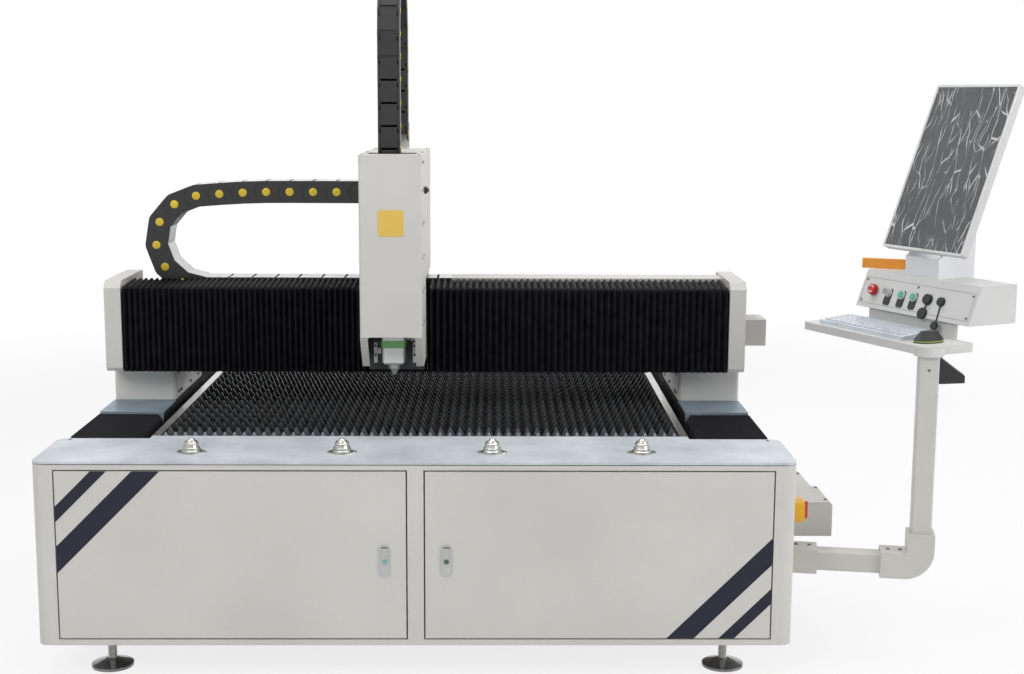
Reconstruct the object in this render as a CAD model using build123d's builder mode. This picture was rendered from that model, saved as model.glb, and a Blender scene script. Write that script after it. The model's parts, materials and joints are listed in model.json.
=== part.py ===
from build123d import *
import os
from math import atan2, cos, pi, radians, sin, tan

# Fiber laser cutting machine with an open slat table, a moving gantry and a swivelling operator console.
# Lengths are millimetres: X to the right, Y to the back, Z up, from the bed's front centre on the floor.

# General clearances
overrun = 10
running_clearance = 0.3
seat_clearance = 0.2
pin_clearance = 0.05

# Front cabinet
cabinet_width = 2200
cabinet_depth = 305
cabinet_corner_radius = 32
cabinet_sheet = 4
bed_base = 111
bed_top = 658
top_plate_thickness = 8
tongue_depth = 35
jamb_depth = 28
jamb_sheet = 4

# Doors
door_side_margin = 67
door_inner_reach = 27.6
door_foot_margin = 21
door_head_margin = 27.5
door_thickness = 20
door_sheet = 3
door_gap = 4
hinge_inset = 12
hinge_pin_radius = 4
hinge_pin_reach = 12

# Door latches
latch_inset = 61.4
latch_rise = 256
latch_width = 31
latch_length = 95
latch_plate_proud = 3
latch_body_width = 24
latch_body_length = 84
latch_body_depth = 28
latch_recess_depth = 14
paddle_width = 17
paddle_length = 50
paddle_thickness = 4
paddle_rise = 12
paddle_pivot_inset = 3
paddle_pin_radius = 1.5
key_cylinder_radius = 7
key_cylinder_drop = 31
key_cylinder_proud = 1.5

# Bed frame
bed_length = 4600
bed_side_step = 40
panel_sheet = 4
beam_width = 216
beam_drop = 58
beam_wall = 8
trough_wall = 8
rear_deck_length = 852
rear_deck_sheet = 8
rear_rim_depth = 90

# Levelling feet
foot_inset = 142
foot_setback = 133
foot_pad_radius = 62
foot_pad_rim = 8
foot_pad_dome = 22
foot_hub_radius = 20
foot_stud_radius = 12
foot_stud_rise = 40
foot_collar_width = 38
foot_collar_height = 18
foot_collar_sides = 6
foot_row_count = 3

# Ball transfer units
transfer_pitch = 441
transfer_setback = 120
transfer_count = 4
transfer_ear_reach = 34
transfer_ear_radius = 9
transfer_ear_lip = 2
transfer_flange_thickness = 4
transfer_ring_radius = 27
transfer_ring_height = 34
transfer_ring_taper = 14
transfer_body_radius = 24
transfer_body_depth = 30
transfer_mouth_radius = 13
transfer_ball_radius = 15
transfer_ball_rise = 44

# Slat table
slat_front_gap = 43
slat_pitch = 70
slat_thickness = 4
slat_rise = 10
slat_height = 123
slat_tooth_depth = 28
slat_tooth_count = 11
slat_end_gap = 1
slat_rail_inset = 39
slat_rail_width = 24
slat_rail_ledge = 20
slat_rail_flange = 10

# Y axis guides and bellows
y_rail_inset = 100
y_rail_width = 34
y_rail_height = 30
y_rail_end_gap = 20
y_bellows_width = 206
y_bellows_overhang = 6
y_bellows_height = 26
y_bellows_rise = 4
y_bellows_front_length = 340
y_bellows_front_depth = 5
y_bellows_rear_depth = 16
y_bellows_front_folds = 24
y_bellows_rear_folds = 56

# Gantry ends
end_plate_depth = 200
end_plate_rise = 12
end_plate_sheet = 6
end_plate_skirt = 5
end_block_depth = 465
end_block_width = 207
end_block_overhang = 3
end_block_height = 112
end_block_corner = 14
bearing_width = 84
bearing_length = 120
bearing_inset = 34
bearing_lift = 6
motor_width = 118
motor_flange_width = 134
motor_flange_thickness = 16
motor_height = 205
motor_setback = 70
motor_corner = 14

# Gantry beam
beam_end_inset = 50
gantry_height = 221
gantry_overhang = 45
gantry_depth = 285
gantry_wall = 10
cover_thickness = 54
cover_proud = 50
cover_lift = 2
cover_rise = 84
cover_top_chamfer = 24
cover_bottom_chamfer = 12
x_rail_width = 30
x_rail_height = 24
x_rail_low_rise = 48
x_rail_top_setback = 40

# X axis bellows
x_bellows_proud = 48
x_bellows_lift = 8
x_bellows_rise = 59
x_bellows_reach = 178
x_bellows_thickness = 22
x_bellows_depth = 13
x_bellows_left_folds = 43
x_bellows_right_folds = 46
x_bellows_end_gap = 2

# Cable duct and outlet box on the gantry
duct_width = 116
duct_height = 76
duct_sheet = 3
outlet_box_reach = 106
outlet_box_setback = 155
outlet_box_depth = 130
outlet_box_lift = 61
outlet_box_height = 91
outlet_slot_count = 3
outlet_slot_length = 60
outlet_slot_width = 8
outlet_slot_depth = 6

# X drag chain
x_chain_setback = 134
x_chain_width = 116
x_chain_height = 75
x_chain_pitch = 79.5
x_chain_radius = 165
x_chain_loop_inset = 247
x_chain_fixed_end = 120
x_chain_side = 12
x_chain_bar = 8
x_chain_cap_radius = 14
x_chain_cap_height = 2
x_chain_cap_sides = 10
chain_joint_clearance = 0.3
link_facet_angle = 30
chain_fit_rounds = 6

# Carriage and Z housing
carriage_middle = -96
housing_width = 195
housing_proud = 350
housing_back_reach = 5
housing_rise = 512
housing_lift = 60
housing_sheet = 4
housing_edge_radius = 7
housing_arch_width = 148
housing_arch_height = 106
housing_arch_radius = 10
housing_toe = 86
housing_hole_width = 154
housing_hole_depth = 130
housing_hole_setback = 84
saddle_proud = 86
saddle_rise = 101
saddle_plate = 22
saddle_lift = 18
saddle_pad_length = 90
saddle_side_gap = 6
actuator_width = 116
actuator_depth = 56
actuator_lift = 160
actuator_height = 330
actuator_motor_width = 80
actuator_motor_height = 130

# Cutting head
head_slide_width = 141
head_slide_sheet = 18
head_slide_lift = 63
head_slide_height = 380
head_body_width = 76
head_body_depth = 92
head_body_height = 268
head_body_corner = 8
head_band_lift = 56
head_band_height = 24
head_band_proud = 2
head_lower_height = 53
head_lower_width = 71
head_lower_chamfer = 6
nozzle_radius = 16
nozzle_tip_radius = 6
nozzle_collar_height = 14
nozzle_length = 39
head_guide_width = 13
head_guide_drop = 70

# Z drag chain
z_chain_width = 74
z_chain_height = 54
z_chain_pitch = 72
z_chain_radius = 225
z_chain_setback = 150
z_chain_loop_rise = 365
z_chain_side_shift = -12
z_chain_side = 9
z_chain_bar = 6

# Electrical box
electrical_gap = 5
electrical_length = 390
electrical_reach = 215
electrical_lift = 239
electrical_height = 108
electrical_step_place = 200
electrical_step = 20
electrical_chamfer = 9

# Main switch
switch_box_front = 165
switch_box_width = 70
switch_box_lift = 321
switch_box_height = 66
switch_box_reach = 59
switch_box_corner = 16
switch_knob_radius = 21
switch_knob_height = 6
switch_lever_width = 12
switch_lever_length = 54
switch_lever_height = 14
switch_lever_taper = 4
switch_shaft_radius = 5
switch_shaft_depth = 20

# Console arm
arm_back_margin = 41
arm_lift = 189
arm_forward_angle = 10
arm_tube_width = 60
arm_tube_wall = 4
arm_tube_corner = 6
arm_length = 423
socket_width = 80
socket_length = 118
socket_flange_width = 80
socket_flange_thickness = 10
elbow_width = 80
elbow_reach = 117
elbow_rise = 100
elbow_radius = 88
elbow_floor = 8
post_rise = 640
post_plug_depth = 90

# Console
console_angle = 65
shelf_left = -562
shelf_right = 28
shelf_front = -42
shelf_back = 152
shelf_rise = 30
shelf_skirt = 25
shelf_sheet = 3
shelf_corner = 16
upstand_sheet = 6
upstand_left = -460
upstand_right = -50
upstand_flange = 120
hub_radius = 44
hub_spigot_radius = 20
hub_spigot_length = 60
box_left = -513
box_right = 15
box_lift = 50
box_height = 118
box_front = 133
box_slope = 46
box_back = 318

# Controls on the console's sloped panel
control_row_rise = 55
estop_place = -442
estop_radius = 19
estop_height = 13
estop_taper = 12
estop_lift = 9
estop_collar_radius = 16
key_switch_place = -374
key_switch_radius = 13
key_switch_height = 8
key_bow_width = 18
key_bow_height = 22
key_bow_thickness = 3
start_button_place = -311
stop_button_place = -254
button_radius = 11
button_height = 11
button_lift = 6
bezel_radius = 15
bezel_height = 8
control_shaft_radius = 7
control_shaft_depth = 24
large_port_place = -188
large_port_radius = 18
large_port_height = 12
small_port_place = -128
small_port_radius = 15
small_port_height = 10
port_taper = 8
large_cap_place = -192
large_cap_rise = 12
large_cap_radius = 18
large_cap_thickness = 9
small_cap_place = -123
small_cap_rise = -17
small_cap_radius = 13
small_cap_thickness = 8
tether_width = 4
tether_thickness = 3

# Keyboard, pointing device and pendant holder
keyboard_left = -505
keyboard_length = 400
keyboard_depth = 128
keyboard_front = -18
keyboard_height = 12
keyboard_rise = 10
keyboard_margin = 10
key_rows = 5
key_columns = 15
key_gap = 3
key_height = 5
key_taper = 10
mouse_place = -52
mouse_setback = 42
mouse_length = 104
mouse_width = 62
mouse_height = 34
mouse_base = 8
mouse_taper = 36
holder_drop = 7
holder_width = 46
holder_height = 74
holder_plate = 8
holder_reach = 74
holder_pocket = 42
holder_slope = 48

# Monitor
stand_left = -345
stand_right = -190
stand_front = 190
stand_back = 335
stand_front_rise = 60
stand_back_rise = 167
stand_sheet = 8
pivot_setback = 286
pivot_rise = 124
pivot_radius = 7
pivot_lug_radius = 20
monitor_width = 368
monitor_height = 555
monitor_thickness = 24
monitor_back_depth = 20
monitor_back_inset = 62
monitor_back_taper = 30
monitor_tilt = 21
monitor_left = -440
monitor_front = 173
monitor_rise = 82
monitor_corner = 8
screen_margin = 9
screen_thickness = 3
grip_place = -550
grip_front = 182
grip_turn = 43
grip_length = 140
grip_depth = 22
grip_height = 32

# Places across the machine, worked out from its width
cabinet_side = cabinet_width / 2
bed_side = cabinet_side - bed_side_step
bed_width = 2 * bed_side
frame_half_width = bed_side - panel_sheet
trough_half_width = frame_half_width - beam_width
slat_rail_inner = trough_half_width - slat_rail_inset
door_outer_reach = cabinet_side - door_side_margin
hinge_reach = door_outer_reach - hinge_inset
latch_reach = door_inner_reach + latch_inset
foot_reach = bed_side - foot_inset
y_rail_reach = bed_side - y_rail_inset
y_bellows_outer = bed_side + y_bellows_overhang
y_bellows_inner = y_bellows_outer - y_bellows_width
end_block_outer = bed_side + end_block_overhang
end_block_inner = end_block_outer - end_block_width
beam_half_length = bed_side - beam_end_inset
x_chain_loop = x_chain_loop_inset - beam_half_length
housing_left = carriage_middle - housing_width / 2
housing_right = carriage_middle + housing_width / 2
z_chain_middle = carriage_middle + z_chain_side_shift

# Places along the machine, from its front
tongue_back = cabinet_depth + tongue_depth
hinge_depth = door_thickness / 2
frame_rear = bed_length - rear_deck_sheet
rear_rim_front = bed_length - rear_rim_depth
slat_start = cabinet_depth + slat_front_gap
slat_field_end = bed_length - rear_deck_length
slat_count = int((slat_field_end - slat_start) // slat_pitch)
end_plate_front = cabinet_depth + y_bellows_front_length
end_block_front = end_plate_front + end_plate_depth
end_block_back = end_block_front + end_block_depth
gantry_front = end_block_front - gantry_overhang
gantry_back = gantry_front + gantry_depth
cover_front = gantry_front - cover_proud
x_rail_top_place = gantry_front + x_rail_top_setback
x_bellows_front = gantry_front - x_bellows_proud
x_bellows_back = x_bellows_front + x_bellows_reach
x_bellows_inner_front = x_bellows_front + x_bellows_thickness
outlet_box_front = gantry_front + outlet_box_setback
x_chain_front = gantry_front + x_chain_setback
housing_front = gantry_front - housing_proud
housing_back = gantry_back + housing_back_reach
saddle_front = gantry_front - saddle_proud
z_chain_front = housing_front + z_chain_setback
z_chain_near = z_chain_front + z_chain_height / 2
z_chain_far = z_chain_near + 2 * z_chain_radius
electrical_front = cabinet_depth + electrical_gap
arm_setback = cabinet_depth - arm_back_margin

# Heights, from the floor
cabinet_top = bed_top - top_plate_thickness
door_bottom = bed_base + door_foot_margin
door_top = bed_top - door_head_margin
latch_height = bed_base + latch_rise
beam_top = bed_top - beam_drop
trough_floor = bed_base + trough_wall
slat_tip = bed_top + slat_rise
slat_bottom = slat_tip - slat_height
y_rail_top = beam_top + y_rail_height
y_bellows_top = bed_top + y_bellows_rise
y_bellows_bottom = y_bellows_top - y_bellows_height
end_plate_height = bed_top + end_plate_rise
gantry_bottom = end_plate_height + end_block_height
gantry_top = gantry_bottom + gantry_height
cover_bottom = gantry_bottom + cover_lift
cover_top = gantry_top + cover_rise
x_rail_low_height = gantry_bottom + x_rail_low_rise
x_bellows_bottom = gantry_bottom + x_bellows_lift
x_bellows_top = gantry_top + x_bellows_rise
x_bellows_inner_top = x_bellows_top - x_bellows_thickness
outlet_box_bottom = gantry_bottom + outlet_box_lift
outlet_box_top = outlet_box_bottom + outlet_box_height
x_chain_low = gantry_top + running_clearance + x_chain_height / 2
housing_top = gantry_top + housing_rise
housing_bottom = gantry_bottom + housing_lift
housing_arch_top = housing_bottom + housing_arch_height
saddle_top = gantry_top + saddle_rise
saddle_bottom = gantry_bottom + saddle_lift
actuator_bottom = saddle_bottom + actuator_lift
head_slide_bottom = housing_bottom + head_slide_lift
head_slide_top = head_slide_bottom + head_slide_height
head_band_bottom = housing_bottom + head_band_lift
head_band_top = head_band_bottom + head_band_height
head_body_top = head_band_top + head_body_height
head_lower_bottom = head_band_bottom - head_lower_height
nozzle_tip = head_lower_bottom - nozzle_length
z_chain_loop_height = housing_top + z_chain_loop_rise
electrical_bottom = bed_base + electrical_lift
electrical_top = electrical_bottom + electrical_height
switch_box_bottom = bed_base + switch_box_lift
arm_height = bed_base + arm_lift
elbow_top = arm_height + elbow_rise
post_top = arm_height + post_rise
shelf_top = post_top + shelf_rise
box_bottom = shelf_top + box_lift
box_top = box_bottom + box_height
control_row_height = box_bottom + control_row_rise
large_cap_height = box_bottom + large_cap_rise
small_cap_height = box_bottom + small_cap_rise
stand_front_height = box_top + stand_front_rise
stand_back_height = box_top + stand_back_rise
pivot_height = box_top + pivot_rise
monitor_bottom = box_top + monitor_rise

# Patterns of feet and ball units
foot_row_step = (bed_length - 2 * foot_setback) / (foot_row_count - 1)
foot_places = [
    (side * foot_reach, foot_setback + row * foot_row_step)
    for side in (-1, 1)
    for row in range(foot_row_count)
]
transfer_places = [
    ((index - (transfer_count - 1) / 2) * transfer_pitch, transfer_setback) for index in range(transfer_count)
]

# The arm leaves the cabinet's right side, and the console turns on the post at the arm's end.
arm_plane = Plane(
    origin=(cabinet_side, arm_setback, arm_height),
    x_dir=(cos(radians(arm_forward_angle)), -sin(radians(arm_forward_angle)), 0),
    z_dir=(0, 0, 1),
)
post_foot = arm_plane.from_local_coords((arm_length, 0, 0))
post_x = post_foot.X
post_y = post_foot.Y
console_plane = Plane(
    origin=(post_x, post_y, 0),
    x_dir=(cos(radians(console_angle)), -sin(radians(console_angle)), 0),
    z_dir=(0, 0, 1),
)
panel_lean = atan2(box_slope, box_top - box_bottom)


def block(low, high, mode=Mode.ADD):
    """A box between two opposite corners."""
    size = [b - a for a, b in zip(low, high)]
    middle = [(a + b) / 2 for a, b in zip(low, high)]
    with Locations(tuple(middle)):
        Box(*size, mode=mode)


def zigzag(start, end, folds, crest, root):
    """The folded edge of a bellows, from one end to the other."""
    step = (end - start) / folds
    points = [(start, root)]
    for fold in range(folds):
        points.append((start + (fold + 1 / 2) * step, crest))
        points.append((start + (fold + 1) * step, root))
    return points


def side_profile(x):
    """A plane whose sketch runs along Y and Z, facing +X."""
    return Plane(origin=(x, 0, 0), x_dir=(0, 1, 0), z_dir=(1, 0, 0))


def console_profile(along):
    """A plane whose sketch runs back and up on the console, facing its right end."""
    return Plane(
        origin=console_plane.from_local_coords((along, 0, 0)),
        x_dir=console_plane.y_dir,
        z_dir=console_plane.x_dir,
    )


def panel_plane(along, height):
    """A plane on the console's sloped panel, facing the operator."""
    back = box_front + box_slope * (height - box_bottom) / (box_top - box_bottom)
    normal = console_plane.z_dir * sin(panel_lean) - console_plane.y_dir * cos(panel_lean)
    return Plane(
        origin=console_plane.from_local_coords((along, back, height)),
        x_dir=console_plane.x_dir,
        z_dir=normal,
    )


def chain_pins(run_in, run_out, pitch, radius):
    """Pin places of a looped chain, one pitch apart: straight run, half circle, straight run back."""
    turn = pi * radius

    def place(walked):
        if walked < run_in:
            return Vector(run_in - walked, radius)
        if walked < run_in + turn:
            angle = (walked - run_in) / radius
            return Vector(-radius * sin(angle), radius * cos(angle))
        return Vector(walked - run_in - turn, -radius)

    walked = 0
    pins = [place(walked)]
    while walked + pitch < run_in + turn + run_out:
        ahead = walked + pitch
        for _ in range(chain_fit_rounds):
            ahead += pitch - (place(ahead) - pins[-1]).length
        walked = ahead
        pins.append(place(walked))
    return [(pin.X, pin.Y) for pin in pins]


def link_outline(pitch, height):
    """Side view of a link: a round nose on its own pin and a hollow tail round the next one."""
    nose = height / 2
    tail = nose + chain_joint_clearance
    facet = radians(link_facet_angle)
    swing = 2 * facet
    outline = [(0, nose), (pitch - tail * (cos(swing) + sin(facet) / 4), nose)]
    outline.append((pitch - tail * cos(swing), tail * sin(swing)))
    for step in (-3 / 2, -1 / 2, 1 / 2, 3 / 2):
        angle = pi + step * facet
        reach = tail / cos(facet / 2)
        outline.append((pitch + reach * cos(angle), reach * sin(angle)))
    outline.append((pitch - tail * cos(swing), -tail * sin(swing)))
    outline.append((outline[1][0], -nose))
    outline.append((0, -nose))
    for step in (2, 1, 0, -1, -2):
        angle = pi + step * facet
        outline.append((nose * cos(angle), nose * sin(angle)))
    return outline


def chain_link(pitch, height, width, side, bar):
    """One open link along X: two side plates joined by a bar above and below the cable space."""
    with BuildPart() as link:
        with BuildSketch():
            Polygon(*link_outline(pitch, height), align=None)
        extrude(amount=width)
        with BuildSketch(Plane.XY.offset(side)):
            Rectangle(2 * (pitch + height), height - 2 * bar)
        extrude(amount=width - 2 * side, mode=Mode.SUBTRACT)
    return link.part


# Bed frame: two hollow side beams, a trough between them and its cross walls
with BuildPart() as bed_frame:
    with BuildSketch(Plane.XZ.offset(-cabinet_depth)):
        with Locations((0, bed_base)):
            Rectangle(2 * frame_half_width, beam_top - bed_base, align=(Align.CENTER, Align.MIN))
        with Locations((0, trough_floor)):
            Rectangle(
                2 * trough_half_width,
                beam_top - trough_floor,
                align=(Align.CENTER, Align.MIN),
                mode=Mode.SUBTRACT,
            )
        beam_middle = trough_half_width + beam_width / 2
        with Locations((-beam_middle, (bed_base + beam_top) / 2), (beam_middle, (bed_base + beam_top) / 2)):
            Rectangle(
                beam_width - 2 * beam_wall,
                beam_top - bed_base - 2 * beam_wall,
                mode=Mode.SUBTRACT,
            )
    extrude(amount=-(frame_rear - cabinet_depth))
    for wall_front in (cabinet_depth, slat_field_end + trough_wall, frame_rear - trough_wall):
        block(
            (-trough_half_width, wall_front, bed_base),
            (trough_half_width, wall_front + trough_wall, cabinet_top),
        )
    with Locations(*[(x, y, bed_base) for x, y in foot_places if y > cabinet_depth]):
        Cylinder(foot_stud_radius + seat_clearance, 2 * beam_wall + overrun, mode=Mode.SUBTRACT)

# Front cabinet: a folded shell, open at its top and back, with two door openings and welded pivot pins
with BuildPart() as front_cabinet:
    with BuildSketch(Plane.XY.offset(bed_base)) as cabinet_plan:
        Rectangle(cabinet_width, cabinet_depth, align=(Align.CENTER, Align.MIN))
        fillet(cabinet_plan.vertices().group_by(Axis.Y)[0], cabinet_corner_radius)
    extrude(amount=cabinet_top - bed_base)
    with BuildSketch(Plane.XY.offset(bed_base + cabinet_sheet)) as cabinet_hollow:
        with Locations((0, cabinet_sheet)):
            Rectangle(cabinet_width - 2 * cabinet_sheet, cabinet_depth, align=(Align.CENTER, Align.MIN))
        fillet(cabinet_hollow.vertices().group_by(Axis.Y)[0], cabinet_corner_radius - cabinet_sheet)
    extrude(amount=cabinet_top - bed_base, mode=Mode.SUBTRACT)
    for side in (-1, 1):
        near = side * (door_inner_reach - door_gap)
        far = side * (door_outer_reach + door_gap)
        left = min(near, far)
        right = max(near, far)
        low = door_bottom - door_gap
        high = door_top + door_gap
        block(
            (left - jamb_sheet, 0, low - jamb_sheet),
            (right + jamb_sheet, jamb_depth, high + jamb_sheet),
        )
        block((left, -overrun, low), (right, jamb_depth + overrun, high), mode=Mode.SUBTRACT)
        pin_length = door_gap + hinge_pin_reach + jamb_sheet
        for pin_middle in (low - jamb_sheet + pin_length / 2, high + jamb_sheet - pin_length / 2):
            with Locations((side * hinge_reach, hinge_depth, pin_middle)):
                Cylinder(hinge_pin_radius, pin_length)
    with Locations(*[(x, y, bed_base) for x, y in foot_places if y < cabinet_depth]):
        Cylinder(foot_stud_radius + seat_clearance, 2 * cabinet_sheet + overrun, mode=Mode.SUBTRACT)

# Front top plate: a steel sheet with a tongue towards the slats and a hole for each ball unit
with BuildPart() as front_top_plate:
    with BuildSketch(Plane.XY.offset(cabinet_top)) as plate_plan:
        Rectangle(cabinet_width, cabinet_depth, align=(Align.CENTER, Align.MIN))
        fillet(plate_plan.vertices(), cabinet_corner_radius)
        with Locations((0, cabinet_depth)):
            Rectangle(
                2 * (slat_rail_inner + slat_rail_width),
                2 * tongue_depth,
            )
        with Locations(*transfer_places):
            Circle(transfer_body_radius + seat_clearance, mode=Mode.SUBTRACT)
    extrude(amount=top_plate_thickness)

# Side panels of the bed behind the cabinet
with BuildPart() as side_panels:
    block(
        (frame_half_width, cabinet_depth, bed_base),
        (bed_side, frame_rear, y_bellows_bottom - running_clearance),
    )
    mirror(about=Plane.YZ)

# Rear panel: a wall folded forward into the deck behind the slats
with BuildPart() as rear_panel:
    with BuildSketch(Plane.XY.offset(cabinet_top)):
        with Locations((0, (slat_field_end + trough_wall + bed_length) / 2)):
            Rectangle(2 * trough_half_width, bed_length - slat_field_end - trough_wall)
        with Locations((0, (rear_rim_front + bed_length) / 2)):
            Rectangle(bed_width, rear_rim_depth)
    extrude(amount=rear_deck_sheet)
    block((-bed_side, frame_rear, bed_base), (bed_side, bed_length, cabinet_top))

# Slat rails: a flat bar on a ledge that carries the slats' ends
with BuildPart() as slat_rails:
    with BuildSketch(Plane.XZ.offset(-tongue_back)):
        with Locations((slat_rail_inner - slat_rail_ledge, slat_bottom - slat_rail_flange)):
            Rectangle(
                trough_half_width - slat_rail_inner + slat_rail_ledge,
                slat_rail_flange,
                align=(Align.MIN, Align.MIN),
            )
        with Locations((slat_rail_inner, slat_bottom)):
            Rectangle(slat_rail_width, bed_top - slat_bottom, align=(Align.MIN, Align.MIN))
    extrude(amount=-(slat_field_end - tongue_back))
    mirror(about=Plane.YZ)

# Cutting slats: toothed strips across the table
with BuildPart() as cutting_slats:
    slat_reach = slat_rail_inner - slat_end_gap
    slat_planes = [Plane.XZ.offset(-(slat_start + index * slat_pitch)) for index in range(slat_count)]
    with BuildSketch(*slat_planes):
        with BuildLine():
            teeth = zigzag(-slat_reach, slat_reach, slat_tooth_count, slat_tip, slat_tip - slat_tooth_depth)
            Polyline(*teeth, (slat_reach, slat_bottom), (-slat_reach, slat_bottom), close=True)
        make_face()
    extrude(amount=-slat_thickness)

# Ball transfer units: a two-eared flange, a tapered cup and its ball
with BuildPart() as ball_transfers:
    for x, y in transfer_places:
        with BuildSketch(Plane(origin=(x, y, bed_top))):
            Circle(transfer_ring_radius + transfer_ear_lip)
            with Locations((-transfer_ear_reach, 0), (transfer_ear_reach, 0)):
                Circle(transfer_ear_radius)
            make_hull()
        extrude(amount=transfer_flange_thickness)
    with BuildSketch(Plane.XY.offset(bed_top)):
        with Locations(*transfer_places):
            Circle(transfer_ring_radius)
    extrude(amount=transfer_ring_height, taper=transfer_ring_taper)
    with BuildSketch(Plane.XY.offset(bed_top)):
        with Locations(*transfer_places):
            Circle(transfer_body_radius)
    extrude(amount=-transfer_body_depth)
    ball_height = bed_top + transfer_ball_rise - transfer_ball_radius
    with Locations(*[(x, y, ball_height) for x, y in transfer_places]):
        Sphere(transfer_ball_radius + seat_clearance, mode=Mode.SUBTRACT)
    with BuildSketch(Plane.XY.offset(bed_top)):
        with Locations(*transfer_places):
            Circle(transfer_mouth_radius)
    extrude(amount=transfer_ball_rise, mode=Mode.SUBTRACT)
    with Locations(*[(x, y, ball_height) for x, y in transfer_places]):
        Sphere(transfer_ball_radius)

# Levelling feet: a dished pad, a stud and the hex collar that seats under the bed
with BuildPart() as levelling_feet:
    floor_up = (Align.CENTER, Align.CENTER, Align.MIN)
    with Locations(*foot_places):
        Cylinder(foot_pad_radius, foot_pad_rim, align=floor_up)
    with Locations(*[(x, y, foot_pad_rim) for x, y in foot_places]):
        Cone(foot_pad_radius, foot_hub_radius, foot_pad_dome - foot_pad_rim, align=floor_up)
    with Locations(*foot_places):
        Cylinder(foot_stud_radius, bed_base + foot_stud_rise, align=floor_up)
    with BuildSketch(Plane.XY.offset(bed_base - foot_collar_height)):
        with Locations(*foot_places):
            RegularPolygon(foot_collar_width / 2, foot_collar_sides, major_radius=False)
    extrude(amount=foot_collar_height)

# Y guide rails on the side beams
with BuildPart() as y_guide_rails:
    with BuildSketch(Plane.XZ.offset(-(cabinet_depth + y_rail_end_gap))):
        with Locations((y_rail_reach, beam_top)):
            Rectangle(y_rail_width, y_rail_height, align=(Align.CENTER, Align.MIN))
    extrude(amount=-(rear_rim_front - cabinet_depth - 2 * y_rail_end_gap))
    mirror(about=Plane.YZ)


def y_bellows(start, end, folds, depth):
    """Folded cover over one pair of Y guide rails."""
    with BuildSketch(side_profile(y_bellows_inner)) as folds_outline:
        with BuildLine():
            crests = zigzag(start, end, folds, y_bellows_top, y_bellows_top - depth)
            Polyline(*crests, (end, y_bellows_bottom), (start, y_bellows_bottom), close=True)
        make_face()
    extrude(folds_outline.sketch, amount=y_bellows_outer - y_bellows_inner)
    mirror(about=Plane.YZ)


# Y bellows, packed in front of the gantry and drawn out behind it
with BuildPart() as y_bellows_front:
    y_bellows(cabinet_depth, end_plate_front, y_bellows_front_folds, y_bellows_front_depth)

with BuildPart() as y_bellows_rear:
    y_bellows(end_block_back, rear_rim_front, y_bellows_rear_folds, y_bellows_rear_depth)

# Electrical box on the bed's right side, with its lid stepped in at the back
with BuildPart() as electrical_box:
    electrical_side = bed_side + electrical_reach
    electrical_back = electrical_front + electrical_length
    block(
        (bed_side, electrical_front, electrical_bottom),
        (electrical_side, electrical_back, electrical_top),
    )
    block(
        (electrical_side - electrical_step, electrical_front + electrical_step_place, electrical_bottom),
        (electrical_side, electrical_back, electrical_top),
        mode=Mode.SUBTRACT,
    )
    top_edges = electrical_box.edges().filter_by(Axis.Y).group_by(Axis.Z)[-1]
    chamfer(top_edges.filter_by(lambda edge: edge.center().X > bed_side), electrical_chamfer)

# Main switch: an enclosure on the cabinet's side, and the knob that turns on it
switch_y = switch_box_front + switch_box_width / 2
switch_z = switch_box_bottom + switch_box_height / 2
switch_face = cabinet_side + switch_box_reach
with BuildPart() as switch_box:
    with BuildSketch(side_profile(cabinet_side)):
        with Locations((switch_y, switch_z)):
            RectangleRounded(switch_box_width, switch_box_height, switch_box_corner)
    extrude(amount=switch_box_reach)
    with BuildSketch(side_profile(switch_face)):
        with Locations((switch_y, switch_z)):
            Circle(switch_shaft_radius + pin_clearance)
    extrude(amount=-(switch_shaft_depth + running_clearance), mode=Mode.SUBTRACT)

with BuildPart() as main_switch_knob:
    knob_base = switch_face + running_clearance
    with BuildSketch(side_profile(knob_base)):
        with Locations((switch_y, switch_z)):
            Circle(switch_knob_radius)
    extrude(amount=switch_knob_height)
    with BuildSketch(side_profile(knob_base)):
        with Locations((switch_y, switch_z)):
            SlotOverall(switch_lever_length, switch_lever_width, rotation=90)
    extrude(amount=switch_lever_height, taper=switch_lever_taper)
    with BuildSketch(side_profile(knob_base)):
        with Locations((switch_y, switch_z)):
            Circle(switch_shaft_radius)
    extrude(amount=-switch_shaft_depth)


def arm_section(along):
    """A plane across the arm at a distance along it, with its sketch level and upright."""
    return Plane(
        origin=arm_plane.from_local_coords((along, 0, 0)),
        x_dir=arm_plane.y_dir,
        z_dir=arm_plane.x_dir,
    )


# Console arm: a flanged socket, a square tube, an elbow and the upright post
socket_start = socket_width / 2 * sin(radians(arm_forward_angle)) + running_clearance
tube_start = socket_flange_thickness + running_clearance
elbow_start = arm_length - elbow_reach
elbow_bore_end = arm_length - elbow_width / 2
with BuildPart() as arm_socket:
    block(
        (cabinet_side, arm_setback - socket_flange_width / 2, arm_height - socket_flange_width / 2),
        (
            cabinet_side + socket_flange_thickness,
            arm_setback + socket_flange_width / 2,
            arm_height + socket_flange_width / 2,
        ),
    )
    with BuildSketch(arm_section(socket_start)):
        RectangleRounded(socket_width, socket_width, arm_tube_corner)
    extrude(amount=socket_length - socket_start)
    with BuildSketch(arm_section(tube_start)):
        RectangleRounded(
            arm_tube_width + 2 * seat_clearance,
            arm_tube_width + 2 * seat_clearance,
            arm_tube_corner,
        )
    extrude(amount=socket_length, mode=Mode.SUBTRACT)

with BuildPart() as arm_tube:
    with BuildSketch(arm_section(tube_start)):
        RectangleRounded(arm_tube_width, arm_tube_width, arm_tube_corner)
        Rectangle(arm_tube_width - 2 * arm_tube_wall, arm_tube_width - 2 * arm_tube_wall, mode=Mode.SUBTRACT)
    extrude(amount=elbow_bore_end - tube_start)

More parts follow.
